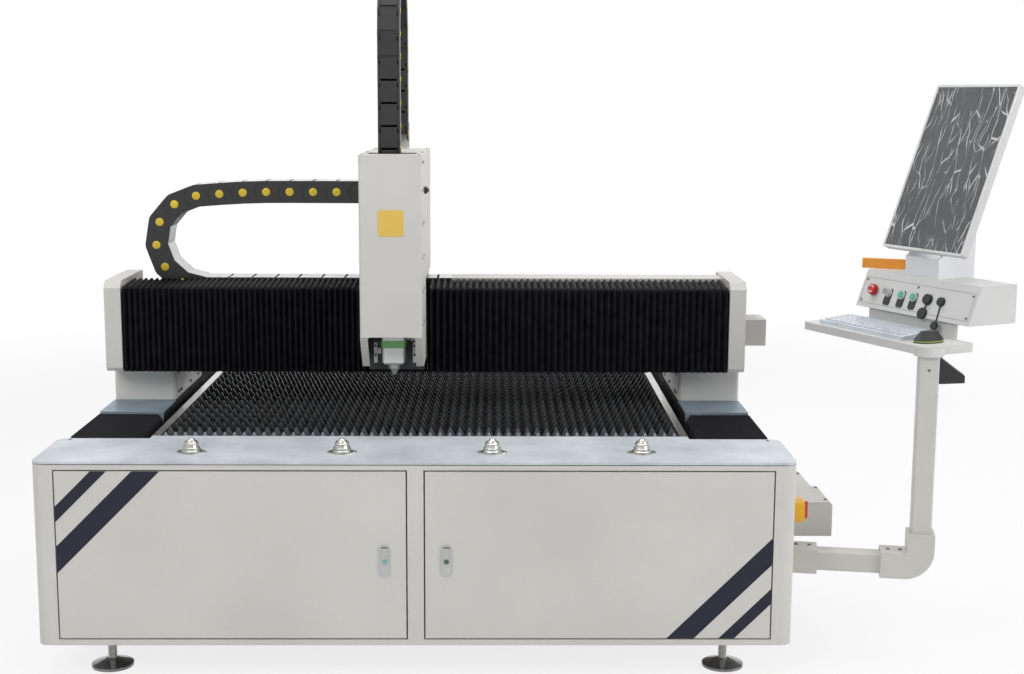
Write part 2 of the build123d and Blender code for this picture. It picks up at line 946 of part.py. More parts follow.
with BuildPart() as arm_elbow:
    elbow_low = arm_height - elbow_width / 2
    elbow_end = arm_length + elbow_width / 2
    elbow_side = Plane(
        origin=arm_plane.from_local_coords((0, elbow_width / 2, -arm_height)),
        x_dir=arm_plane.x_dir,
        z_dir=-arm_plane.y_dir,
    )
    with BuildSketch(elbow_side):
        with BuildLine():
            Polyline(
                (elbow_end - elbow_radius, elbow_low),
                (elbow_start, elbow_low),
                (elbow_start, elbow_low + elbow_width),
                (elbow_end - elbow_width, elbow_low + elbow_width),
                (elbow_end - elbow_width, elbow_top),
                (elbow_end, elbow_top),
                (elbow_end, elbow_low + elbow_radius),
            )
            RadiusArc(
                (elbow_end, elbow_low + elbow_radius),
                (elbow_end - elbow_radius, elbow_low),
                elbow_radius,
            )
        make_face()
    extrude(amount=elbow_width)
    bore_width = arm_tube_width + 2 * seat_clearance
    with BuildSketch(arm_section(elbow_bore_end + seat_clearance)):
        RectangleRounded(bore_width, bore_width, arm_tube_corner)
    extrude(amount=-(elbow_reach + overrun), mode=Mode.SUBTRACT)
    post_bottom = arm_height + arm_tube_width / 2 + elbow_floor
    with BuildSketch(arm_plane.offset(post_bottom - arm_height - seat_clearance)):
        with Locations((arm_length, 0)):
            RectangleRounded(bore_width, bore_width, arm_tube_corner)
    extrude(amount=elbow_top, mode=Mode.SUBTRACT)

with BuildPart() as console_post:
    with BuildSketch(arm_plane.offset(post_bottom - arm_height)):
        with Locations((arm_length, 0)):
            RectangleRounded(arm_tube_width, arm_tube_width, arm_tube_corner)
    extrude(amount=post_top - post_bottom)
    post_hollow = arm_tube_width - 2 * arm_tube_wall
    with BuildSketch(arm_plane.offset(post_bottom - arm_height)):
        with Locations((arm_length, 0)):
            Rectangle(post_hollow, post_hollow)
    extrude(amount=post_top - post_bottom - post_plug_depth, mode=Mode.SUBTRACT)
    with BuildSketch(arm_plane.offset(post_top - arm_height)):
        with Locations((arm_length, 0)):
            Circle(hub_spigot_radius + pin_clearance)
    extrude(amount=-post_plug_depth, mode=Mode.SUBTRACT)


def door(side):
    """A folded pan door with pivot holes in its outer edge and a cut-out for the latch."""
    near = side * door_inner_reach
    far = side * door_outer_reach
    left = min(near, far)
    right = max(near, far)
    block((left, 0, door_bottom), (right, door_thickness, door_top))
    block(
        (left + door_sheet, door_sheet, door_bottom + door_sheet),
        (right - door_sheet, door_thickness + overrun, door_top - door_sheet),
        mode=Mode.SUBTRACT,
    )
    with Locations((side * hinge_reach, hinge_depth, (door_bottom + door_top) / 2)):
        Cylinder(hinge_pin_radius + pin_clearance, door_top - door_bottom + overrun, mode=Mode.SUBTRACT)
    with BuildSketch(Plane.XZ.offset(overrun)) as latch_hole:
        with Locations((side * latch_reach, latch_height)):
            SlotOverall(
                latch_body_length + 2 * seat_clearance,
                latch_body_width + 2 * seat_clearance,
                rotation=90,
            )
    extrude(latch_hole.sketch, amount=-(door_thickness + 2 * overrun), mode=Mode.SUBTRACT)


with BuildPart() as door_left:
    door(-1)

with BuildPart() as door_right:
    door(1)

paddle_middle = latch_height + paddle_rise
paddle_pivot_height = paddle_middle + paddle_length / 2 - paddle_pivot_inset
paddle_front = -latch_plate_proud
paddle_pivot_depth = paddle_front + paddle_thickness / 2


def latch(side):
    """A flush latch: oblong plate, body through the door, paddle recess and key cylinder."""
    with BuildSketch(Plane.XZ) as face_plate:
        with Locations((side * latch_reach, latch_height)):
            SlotOverall(latch_length, latch_width, rotation=90)
    extrude(face_plate.sketch, amount=latch_plate_proud)
    with BuildSketch(Plane.XZ) as body:
        with Locations((side * latch_reach, latch_height)):
            SlotOverall(latch_body_length, latch_body_width, rotation=90)
    extrude(body.sketch, amount=-latch_body_depth)
    recess_width = paddle_width + 2 * running_clearance
    block(
        (
            side * latch_reach - recess_width / 2,
            -latch_plate_proud - overrun,
            paddle_middle - paddle_length / 2 - running_clearance,
        ),
        (
            side * latch_reach + recess_width / 2,
            latch_recess_depth,
            paddle_middle + paddle_length / 2 + running_clearance + paddle_pivot_inset,
        ),
        mode=Mode.SUBTRACT,
    )
    with Locations(Location((side * latch_reach, paddle_pivot_depth, paddle_pivot_height), (0, 90, 0))):
        Cylinder(
            paddle_pin_radius + pin_clearance,
            recess_width + 2 * paddle_pin_radius + pin_clearance,
            mode=Mode.SUBTRACT,
        )
    with BuildSketch(Plane.XZ.offset(latch_plate_proud)) as key_face:
        with Locations((side * latch_reach, latch_height - key_cylinder_drop)):
            Circle(key_cylinder_radius)
    extrude(key_face.sketch, amount=key_cylinder_proud)


def latch_paddle(side):
    """The latch's swinging paddle with its pivot pin."""
    block(
        (side * latch_reach - paddle_width / 2, paddle_front, paddle_middle - paddle_length / 2),
        (
            side * latch_reach + paddle_width / 2,
            paddle_front + paddle_thickness,
            paddle_middle + paddle_length / 2,
        ),
    )
    with Locations(Location((side * latch_reach, paddle_pivot_depth, paddle_pivot_height), (0, 90, 0))):
        Cylinder(paddle_pin_radius, paddle_width + 2 * paddle_pin_radius)


with BuildPart() as latch_left:
    latch(-1)

with BuildPart() as latch_right:
    latch(1)

with BuildPart() as latch_paddle_left:
    latch_paddle(-1)

with BuildPart() as latch_paddle_right:
    latch_paddle(1)

# Gantry beam: a hollow box section across the bed
with BuildPart() as gantry_beam:
    with BuildSketch(side_profile(-beam_half_length)):
        with Locations((gantry_front + gantry_depth / 2, (gantry_bottom + gantry_top) / 2)):
            Rectangle(gantry_depth, gantry_top - gantry_bottom)
            Rectangle(
                gantry_depth - 2 * gantry_wall,
                gantry_top - gantry_bottom - 2 * gantry_wall,
                mode=Mode.SUBTRACT,
            )
    extrude(amount=2 * beam_half_length)

# End blocks: castings that stand on the Y bearings and carry the beam
with BuildPart() as gantry_end_blocks:
    with BuildSketch(Plane.XY.offset(end_plate_height)) as end_block_plan:
        with Locations(((end_block_inner + end_block_outer) / 2, end_block_front + end_block_depth / 2)):
            Rectangle(end_block_outer - end_block_inner, end_block_depth)
        fillet(end_block_plan.vertices(), end_block_corner)
    extrude(amount=gantry_bottom - end_plate_height)
    mirror(about=Plane.YZ)

# Plates that carry the bellows' ends in front of the blocks
with BuildPart() as bellows_end_plates:
    block(
        (end_block_inner, end_plate_front, end_plate_height - end_plate_sheet),
        (end_block_outer, end_block_front, end_plate_height),
    )
    block(
        (end_block_inner, end_plate_front, y_bellows_bottom),
        (end_block_outer, end_plate_front + end_plate_skirt, end_plate_height - end_plate_sheet),
    )
    mirror(about=Plane.YZ)

# Y bearing blocks riding on the guide rails
with BuildPart() as y_bearing_blocks:
    rail_gap = running_clearance
    for bearing_front in (end_block_front + bearing_inset, end_block_back - bearing_inset - bearing_length):
        block(
            (y_rail_reach - bearing_width / 2, bearing_front, beam_top + bearing_lift),
            (y_rail_reach + bearing_width / 2, bearing_front + bearing_length, end_plate_height),
        )
    block(
        (y_rail_reach - y_rail_width / 2 - rail_gap, end_block_front - overrun, beam_top - overrun),
        (y_rail_reach + y_rail_width / 2 + rail_gap, end_block_back + overrun, y_rail_top + rail_gap),
        mode=Mode.SUBTRACT,
    )
    mirror(about=Plane.YZ)

# Y servo motors standing on the end blocks behind the beam
with BuildPart() as y_servo_motors:
    motor_x = (end_block_inner + end_block_outer) / 2
    motor_y = end_block_back - motor_flange_width / 2 - motor_setback
    with BuildSketch(Plane.XY.offset(gantry_bottom)):
        with Locations((motor_x, motor_y)):
            RectangleRounded(motor_flange_width, motor_flange_width, motor_corner)
    extrude(amount=motor_flange_thickness)
    with BuildSketch(Plane.XY.offset(gantry_bottom + motor_flange_thickness)):
        with Locations((motor_x, motor_y)):
            RectangleRounded(motor_width, motor_width, motor_corner)
    extrude(amount=motor_height)
    mirror(about=Plane.YZ)

# End covers of the beam
with BuildPart() as beam_end_covers:
    with BuildSketch(side_profile(beam_half_length)):
        with BuildLine():
            Polyline(
                (cover_front, cover_bottom + cover_bottom_chamfer),
                (cover_front, cover_top - cover_top_chamfer),
                (cover_front + cover_top_chamfer, cover_top),
                (gantry_back, cover_top),
                (gantry_back, cover_bottom),
                (cover_front + cover_bottom_chamfer, cover_bottom),
                close=True,
            )
        make_face()
    extrude(amount=cover_thickness)
    mirror(about=Plane.YZ)

# X guide rails on the beam's front and top
with BuildPart() as x_guide_rails:
    block(
        (-beam_half_length, gantry_front - x_rail_height, x_rail_low_height),
        (beam_half_length, gantry_front, x_rail_low_height + x_rail_width),
    )
    block(
        (-beam_half_length, x_rail_top_place, gantry_top),
        (beam_half_length, x_rail_top_place + x_rail_width, gantry_top + x_rail_height),
    )


def x_bellows(start, end, folds):
    """Folded cover round the beam's front and top, mitred along the corner."""
    with BuildSketch(Plane.XY.offset(x_bellows_bottom)) as front_folds:
        with BuildLine():
            root = x_bellows_front + x_bellows_depth
            edge = zigzag(start, end, folds, x_bellows_front, root)
            Polyline(*edge, (end, x_bellows_back), (start, x_bellows_back), close=True)
        make_face()
    extrude(front_folds.sketch, amount=x_bellows_top - x_bellows_bottom)
    with BuildSketch(Plane.XZ.offset(-x_bellows_front + overrun)) as top_folds:
        with BuildLine():
            root = x_bellows_top - x_bellows_depth
            edge = zigzag(start, end, folds, x_bellows_top, root)
            Polyline(*edge, (end, x_bellows_bottom), (start, x_bellows_bottom), close=True)
        make_face()
    extrude(top_folds.sketch, amount=-(x_bellows_back - x_bellows_front + 2 * overrun), mode=Mode.INTERSECT)
    block(
        (start - overrun, x_bellows_inner_front, x_bellows_bottom - overrun),
        (end + overrun, x_bellows_back + overrun, x_bellows_inner_top),
        mode=Mode.SUBTRACT,
    )


with BuildPart() as x_bellows_left:
    x_bellows(-beam_half_length, housing_left - x_bellows_end_gap, x_bellows_left_folds)

with BuildPart() as x_bellows_right:
    x_bellows(housing_right + x_bellows_end_gap, beam_half_length, x_bellows_right_folds)

# Cable outlet box on the right end cover, slotted on top
with BuildPart() as cable_outlet_box:
    outlet_left = beam_half_length + cover_thickness
    block(
        (outlet_left, outlet_box_front, outlet_box_bottom),
        (outlet_left + outlet_box_reach, outlet_box_front + outlet_box_depth, outlet_box_top),
    )
    for slot in range(outlet_slot_count):
        slot_front = outlet_box_front + (slot + 1) * outlet_box_depth / (outlet_slot_count + 1)
        with BuildSketch(Plane.XY.offset(outlet_box_top)):
            with Locations((outlet_left + outlet_box_reach / 2, slot_front)):
                SlotOverall(outlet_slot_length, outlet_slot_width)
        extrude(amount=-outlet_slot_depth, mode=Mode.SUBTRACT)

# X drag chain: links on their pins, from the carriage round the loop to the fixed end on the beam
x_chain_centre = x_chain_low + x_chain_radius
x_pins = [
    (x_chain_loop + along, x_chain_centre + rise)
    for along, rise in chain_pins(
        housing_left - x_chain_loop - x_chain_height / 2,
        x_chain_fixed_end - x_chain_loop,
        x_chain_pitch,
        x_chain_radius,
    )
]
x_link = chain_link(x_chain_pitch, x_chain_height, x_chain_width, x_chain_side, x_chain_bar)
with BuildPart() as x_chain_links:
    for (x0, z0), (x1, z1) in zip(x_pins, x_pins[1:]):
        with Locations(Plane(origin=(x0, x_chain_front, z0), x_dir=(x1 - x0, 0, z1 - z0), z_dir=(0, 1, 0))):
            add(x_link)

with BuildPart() as x_chain_pins:
    for face, outward in ((x_chain_front, -1), (x_chain_front + x_chain_width, 1)):
        with BuildSketch(Plane.XZ.offset(-face)):
            with Locations(*x_pins[:-1]):
                RegularPolygon(x_chain_cap_radius, x_chain_cap_sides)
        extrude(amount=-outward * x_chain_cap_height)

# Cable duct from the chain's fixed end to the right end of the beam
with BuildPart() as cable_duct:
    duct_left = x_pins[-1][0] - x_chain_height / 4
    with BuildSketch(side_profile(duct_left)):
        with Locations((x_chain_front, gantry_top)):
            Rectangle(duct_width, duct_height, align=(Align.MIN, Align.MIN))
        with Locations((x_chain_front + duct_sheet, gantry_top + duct_sheet)):
            Rectangle(
                duct_width - 2 * duct_sheet,
                duct_height - 2 * duct_sheet,
                align=(Align.MIN, Align.MIN),
                mode=Mode.SUBTRACT,
            )
    extrude(amount=beam_half_length - duct_left)

# Carriage saddle: a plate over the beam's front and top, with pads that grip the rails
with BuildPart() as carriage_saddle:
    saddle_left = housing_left + saddle_side_gap
    saddle_right = housing_right - saddle_side_gap
    with BuildSketch(side_profile(saddle_left)):
        with BuildLine():
            Polyline(
                (saddle_front, saddle_bottom),
                (saddle_front, saddle_top),
                (housing_back, saddle_top),
                (housing_back, saddle_top - saddle_plate),
                (saddle_front + saddle_plate, saddle_top - saddle_plate),
                (saddle_front + saddle_plate, saddle_bottom),
                close=True,
            )
        make_face()
    extrude(amount=saddle_right - saddle_left)
    pad_left = carriage_middle - saddle_pad_length / 2
    pad_right = carriage_middle + saddle_pad_length / 2
    rail_middle = x_rail_low_height + x_rail_width / 2
    block(
        (pad_left, saddle_front, rail_middle - x_rail_width),
        (pad_right, gantry_front - x_rail_height / 2, rail_middle + x_rail_width),
    )
    block(
        (pad_left, x_rail_top_place - x_rail_width / 2, gantry_top + x_rail_height / 2),
        (pad_right, x_rail_top_place + x_rail_width + x_rail_width / 2, saddle_top),
    )
    block(
        (
            pad_left - overrun,
            gantry_front - x_rail_height - running_clearance,
            x_rail_low_height - running_clearance,
        ),
        (pad_right + overrun, gantry_front, x_rail_low_height + x_rail_width + running_clearance),
        mode=Mode.SUBTRACT,
    )
    block(
        (pad_left - overrun, x_rail_top_place - running_clearance, gantry_top),
        (
            pad_right + overrun,
            x_rail_top_place + x_rail_width + running_clearance,
            gantry_top + x_rail_height + running_clearance,
        ),
        mode=Mode.SUBTRACT,
    )

# Pin places of the Z drag chain: up from the head slide, over a high loop and down to the housing's top
z_chain_links_low = housing_top + housing_sheet + running_clearance
z_pins = [
    (z_chain_near + z_chain_radius - rise, z_chain_loop_height - along)
    for along, rise in chain_pins(
        z_chain_loop_height - head_slide_top - running_clearance - z_chain_height / 2,
        z_chain_loop_height - z_chain_links_low,
        z_chain_pitch,
        z_chain_radius,
    )
]

# Z housing: a folded cover, stepped over the beam, with an arch in its toe and a cable hole on top
with BuildPart() as z_housing:
    with BuildSketch(side_profile(housing_left)):
        with BuildLine():
            Polyline(
                (housing_front + housing_toe, housing_bottom),
                (housing_front, housing_arch_top),
                (housing_front, housing_top),
                (housing_back, housing_top),
                (housing_back, saddle_top),
                (saddle_front, saddle_top),
                (saddle_front, housing_bottom),
                close=True,
            )
        make_face()
    extrude(amount=housing_width)
    fillet(z_housing.edges().filter_by(Axis.Z).group_by(Axis.Y)[0], housing_edge_radius)
    with BuildSketch(side_profile(housing_left + housing_sheet)):
        with BuildLine():
            Polyline(
                (housing_front + housing_sheet + housing_toe, housing_bottom - overrun),
                (housing_front + housing_sheet + housing_toe, housing_bottom),
                (housing_front + housing_sheet, housing_arch_top),
                (housing_front + housing_sheet, housing_top - housing_sheet),
                (housing_back - housing_sheet, housing_top - housing_sheet),
                (housing_back - housing_sheet, saddle_top + housing_sheet),
                (saddle_front + overrun, saddle_top + housing_sheet),
                (saddle_front + overrun, housing_bottom - overrun),
                close=True,
            )
        make_face()
    extrude(amount=housing_width - 2 * housing_sheet, mode=Mode.SUBTRACT)
    with BuildSketch(Plane.XZ.offset(-housing_front + overrun)) as arch:
        with Locations((carriage_middle, housing_bottom - overrun)):
            Rectangle(
                housing_arch_width,
                housing_arch_top - housing_bottom + overrun,
                align=(Align.CENTER, Align.MIN),
            )
        fillet(arch.vertices().group_by(Axis.Y)[-1], housing_arch_radius)
    extrude(amount=-(housing_toe + housing_sheet + 2 * overrun), mode=Mode.SUBTRACT)
    with BuildSketch(Plane.XY.offset(housing_top + overrun)):
        with Locations((carriage_middle, housing_front + housing_hole_setback)):
            Rectangle(housing_hole_width, housing_hole_depth, align=(Align.CENTER, Align.MIN))
    extrude(amount=-(housing_sheet + 2 * overrun), mode=Mode.SUBTRACT)
    bracket_front = z_chain_far + z_chain_height / 2
    block(
        (z_chain_middle - z_chain_width / 2, bracket_front - z_chain_height, housing_top),
        (z_chain_middle + z_chain_width / 2, bracket_front + housing_sheet, housing_top + housing_sheet),
    )
    block(
        (z_chain_middle - z_chain_width / 2, bracket_front, housing_top),
        (
            z_chain_middle + z_chain_width / 2,
            bracket_front + housing_sheet,
            z_pins[-1][1] + z_chain_pitch / 2,
        ),
    )

# Z actuator: a closed screw module with its motor on top
with BuildPart() as z_actuator:
    actuator_front = saddle_front - actuator_depth
    actuator_top = actuator_bottom + actuator_height
    block(
        (carriage_middle - actuator_width / 2, actuator_front, actuator_bottom),
        (carriage_middle + actuator_width / 2, saddle_front, actuator_top),
    )
    motor_back = saddle_front + actuator_motor_width - actuator_depth
    block(
        (carriage_middle - actuator_motor_width / 2, actuator_front, actuator_top),
        (carriage_middle + actuator_motor_width / 2, motor_back, actuator_top + actuator_motor_height),
    )

# Head slide: the plate that rides on the Z actuator, with guide strips beside the head
with BuildPart() as head_slide:
    slide_back = actuator_front - running_clearance
    slide_front = slide_back - head_slide_sheet
    with BuildSketch(Plane.XZ.offset(-slide_front)):
        with Locations((carriage_middle, head_slide_bottom)):
            Rectangle(
                head_slide_width,
                head_slide_top - head_slide_bottom,
                align=(Align.CENTER, Align.MIN),
            )
        guide_reach = (head_slide_width - head_guide_width) / 2
        for guide_middle in (carriage_middle - guide_reach, carriage_middle + guide_reach):
            with Locations((guide_middle, head_slide_bottom)):
                Rectangle(head_guide_width, head_guide_drop, align=(Align.CENTER, Align.MAX))
    extrude(amount=-head_slide_sheet)


# Cutting head: optics tower and lower body, with a coloured band between them
head_centre_y = slide_front - head_body_depth / 2
with BuildPart() as cutting_head:
    with BuildSketch(Plane.XY.offset(head_band_top)):
        with Locations((carriage_middle, head_centre_y)):
            RectangleRounded(head_body_width, head_body_depth, head_body_corner)
    extrude(amount=head_body_top - head_band_top)
    with BuildSketch(Plane.XY.offset(head_lower_bottom)):
        with Locations((carriage_middle, head_centre_y)):
            RectangleRounded(head_lower_width, head_body_depth, head_body_corner)
    extrude(amount=head_band_bottom - head_lower_bottom)
    chamfer(cutting_head.faces().sort_by(Axis.Z)[0].edges(), head_lower_chamfer)

with BuildPart() as head_band:
    with BuildSketch(Plane.XY.offset(head_band_bottom)):
        with Locations((carriage_middle, head_centre_y)):
            RectangleRounded(
                head_body_width + 2 * head_band_proud,
                head_body_depth,
                head_body_corner,
            )
    extrude(amount=head_band_top - head_band_bottom)

with BuildPart() as nozzle:
    nozzle_plane = Plane(origin=(carriage_middle, head_centre_y, 0), x_dir=(1, 0, 0), z_dir=(0, -1, 0))
    with BuildSketch(nozzle_plane):
        with BuildLine():
            Polyline(
                (0, nozzle_tip),
                (nozzle_tip_radius, nozzle_tip),
                (nozzle_radius, head_lower_bottom - nozzle_collar_height),
                (nozzle_radius, head_lower_bottom),
                (0, head_lower_bottom),
                close=True,
            )
        make_face()
    revolve(axis=Axis(nozzle_plane.origin, (0, 0, 1)))

# Z drag chain between the head slide and the bracket on the housing
z_link = chain_link(z_chain_pitch, z_chain_height, z_chain_width, z_chain_side, z_chain_bar)
with BuildPart() as z_chain_links:
    z_chain_left = z_chain_middle - z_chain_width / 2
    for (y0, z0), (y1, z1) in zip(z_pins, z_pins[1:]):
        with Locations(Plane(origin=(z_chain_left, y0, z0), x_dir=(0, y1 - y0, z1 - z0), z_dir=(1, 0, 0))):
            add(z_link)

# Keyboard shelf: a skirted tray on a round spigot, with an upstand that carries the button box
with BuildPart() as keyboard_shelf:
    shelf_low = shelf_top - shelf_skirt
    with BuildSketch(console_plane.offset(shelf_low)):
        with Locations(((shelf_left + shelf_right) / 2, (shelf_front + shelf_back) / 2)):
            RectangleRounded(shelf_right - shelf_left, shelf_back - shelf_front, shelf_corner)
    extrude(amount=shelf_skirt)
    with BuildSketch(console_plane.offset(shelf_low)):
        with Locations(((shelf_left + shelf_right) / 2, (shelf_front + shelf_back) / 2)):
            RectangleRounded(
                shelf_right - shelf_left - 2 * shelf_sheet,
                shelf_back - shelf_front - 2 * shelf_sheet,
                shelf_corner - shelf_sheet,
            )
    extrude(amount=shelf_skirt - shelf_sheet, mode=Mode.SUBTRACT)
    with BuildSketch(console_profile(upstand_left)):
        with BuildLine():
            Polyline(
                (shelf_back - upstand_sheet, shelf_top - shelf_sheet),
                (shelf_back - upstand_sheet, box_bottom),
                (shelf_back + upstand_flange, box_bottom),
                (shelf_back + upstand_flange, box_bottom - upstand_sheet),
                (shelf_back, box_bottom - upstand_sheet),
                (shelf_back, shelf_top - shelf_sheet),
                close=True,
            )
        make_face()
    extrude(amount=upstand_right - upstand_left)
    with BuildSketch(console_plane.offset(post_top)):
        Circle(hub_radius)
    extrude(amount=shelf_top - shelf_sheet - post_top)
    with BuildSketch(console_plane.offset(post_top)):
        Circle(hub_spigot_radius)
    extrude(amount=-hub_spigot_length)

# Button box: a sloped front panel with a socket for each control
with BuildPart() as button_box:
    with BuildSketch(console_profile(box_left)):
        with BuildLine():
            Polyline(
                (box_front, box_bottom),
                (box_front + box_slope, box_top),
                (box_back, box_top),
                (box_back, box_bottom),
                close=True,
            )
        make_face()
    extrude(amount=box_right - box_left)
    for place in (start_button_place, stop_button_place):
        with BuildSketch(panel_plane(place, control_row_height)):
            Circle(bezel_radius)
            Circle(button_radius + running_clearance, mode=Mode.SUBTRACT)
        extrude(amount=bezel_height)
    with BuildSketch(panel_plane(estop_place, control_row_height)):
        Circle(estop_collar_radius)
    extrude(amount=running_clearance + estop_lift / 4)
    with BuildSketch(panel_plane(key_switch_place, control_row_height)):
        Circle(bezel_radius)
        Circle(key_switch_radius + running_clearance, mode=Mode.SUBTRACT)
    extrude(amount=key_switch_height / 2)
    for place in (estop_place, key_switch_place, start_button_place, stop_button_place):
        with BuildSketch(panel_plane(place, control_row_height).offset(bezel_height)):
            Circle(control_shaft_radius + pin_clearance)
        extrude(amount=-(control_shaft_depth + bezel_height), mode=Mode.SUBTRACT)


def push_stem(place, foot):
    """The shaft of a control, in its socket behind the panel."""
    with BuildSketch(panel_plane(place, control_row_height).offset(foot)) as stem:
        Circle(control_shaft_radius)
    extrude(stem.sketch, amount=-(control_shaft_depth + foot - button_lift))


def push_button(place):
    """A round push button on its stem."""
    with BuildSketch(panel_plane(place, control_row_height).offset(button_lift)) as cap:
        Circle(button_radius)
    extrude(cap.sketch, amount=button_height - button_lift)
    push_stem(place, button_lift)


with BuildPart() as start_button:
    push_button(start_button_place)

with BuildPart() as stop_button:
    push_button(stop_button_place)

with BuildPart() as estop_button:
    with BuildSketch(panel_plane(estop_place, control_row_height).offset(estop_lift)):
        Circle(estop_radius)
    extrude(amount=estop_height, taper=estop_taper)
    push_stem(estop_place, estop_lift)

with BuildPart() as key_switch:
    with BuildSketch(panel_plane(key_switch_place, control_row_height).offset(running_clearance)):
        Circle(key_switch_radius)
    extrude(amount=key_switch_height)
    with BuildSketch(panel_plane(key_switch_place, control_row_height).offset(key_switch_height)):
        Rectangle(key_bow_thickness, key_bow_width)
    extrude(amount=key_bow_height)
    push_stem(key_switch_place, key_switch_height)

# Data ports on the panel, with their caps hanging from tethers
with BuildPart() as port_sockets:
    ports = (
        (large_port_place, large_port_radius, large_port_height),
        (small_port_place, small_port_radius, small_port_height),
    )
    for place, radius, height in ports:
        with BuildSketch(panel_plane(place, control_row_height)):
            Circle(radius)
        extrude(amount=height, taper=port_taper)
    caps = (
        (large_cap_place, large_cap_height, large_cap_radius, large_cap_thickness),
        (small_cap_place, small_cap_height, small_cap_radius, small_cap_thickness),
    )
    for (place, height, radius, thickness), (port_place, port_radius, port_height) in zip(caps, ports):
        with BuildSketch(panel_plane(place, height)):
            Circle(radius)
        extrude(amount=thickness)
        drop = (control_row_height - height) / cos(panel_lean)
        with BuildSketch(panel_plane(port_place, control_row_height)):
            with BuildLine():
                Line((0, 0), (place - port_place, -drop))
            trace(line_width=tether_width)
        extrude(amount=tether_thickness)

# Keyboard with its key rows, and a mouse beside it
with BuildPart() as keyboard:
    keyboard_back = keyboard_front + keyboard_depth
    with BuildSketch(console_profile(keyboard_left)):
        with BuildLine():
            Polyline(
                (keyboard_front, shelf_top),
                (keyboard_front, shelf_top + keyboard_height),
                (keyboard_back, shelf_top + keyboard_height + keyboard_rise),
                (keyboard_back, shelf_top),
                close=True,
            )
        make_face()
    extrude(amount=keyboard_length)
    keyboard_middle = console_plane.from_local_coords(
        (
            keyboard_left + keyboard_length / 2,
            keyboard_front + keyboard_depth / 2,
            shelf_top + keyboard_height + keyboard_rise / 2,
        )
    )
    keyboard_lean = atan2(keyboard_rise, keyboard_depth)
    keyboard_up = console_plane.z_dir * cos(keyboard_lean) - console_plane.y_dir * sin(keyboard_lean)
    key_pitch = (keyboard_length - 2 * keyboard_margin) / key_columns
    key_row_pitch = (keyboard_depth - 2 * keyboard_margin) / key_rows
    with BuildSketch(Plane(origin=keyboard_middle, x_dir=console_plane.x_dir, z_dir=keyboard_up)):
        with GridLocations(key_pitch, key_row_pitch, key_columns, key_rows):
            Rectangle(key_pitch - key_gap, key_row_pitch - key_gap)
    extrude(amount=key_height, taper=key_taper)

with BuildPart() as mouse:
    with BuildSketch(console_plane.offset(shelf_top)):
        with Locations((mouse_place, mouse_setback)):
            Ellipse(mouse_width / 2, mouse_length / 2)
    extrude(amount=mouse_base)
    with BuildSketch(console_plane.offset(shelf_top + mouse_base)):
        with Locations((mouse_place, mouse_setback)):
            Ellipse(mouse_width / 2, mouse_length / 2)
    extrude(amount=mouse_height - mouse_base, taper=mouse_taper)

# Pendant holder: a bracket on the post with a slanting pocket
with BuildPart() as pendant_holder:
    holder_top = post_top - holder_drop
    holder_start = arm_tube_width / 2
    with BuildSketch(
        Plane(
            origin=arm_plane.from_local_coords((arm_length, holder_width / 2, -arm_height)),
            x_dir=arm_plane.x_dir,
            z_dir=-arm_plane.y_dir,
        )
    ):
        with BuildLine():
            Polyline(
                (holder_start, holder_top),
                (holder_start + holder_plate, holder_top),
                (holder_start + holder_reach, holder_top - holder_slope),
                (holder_start + holder_reach, holder_top - holder_slope - holder_pocket / 2),
                (holder_start + holder_plate, holder_top - holder_height),
                (holder_start, holder_top - holder_height),
                close=True,
            )
        make_face()
    extrude(amount=holder_width)

# Monitor stand: two cheeks on a base, with a pivot pin between them
with BuildPart() as monitor_stand:
    cheek_outline = (
        (stand_front, box_top),
        (stand_front, stand_front_height),
        (stand_back, stand_back_height),
        (stand_back, box_top),
    )
    for cheek in (stand_left, stand_right - stand_sheet):
        with BuildSketch(console_profile(cheek)):
            Polygon(*cheek_outline, align=None)
        extrude(amount=stand_sheet)
    with BuildSketch(console_profile(stand_left)):
        with Locations(((stand_front + stand_back) / 2, box_top)):
            Rectangle(stand_back - stand_front, stand_sheet, align=(Align.CENTER, Align.MIN))
        with Locations((stand_front, box_top)):
            Rectangle(stand_sheet, stand_front_height - box_top, align=(Align.MIN, Align.MIN))
        with Locations((pivot_setback, pivot_height)):
            Circle(pivot_radius)
    extrude(amount=stand_right - stand_left)

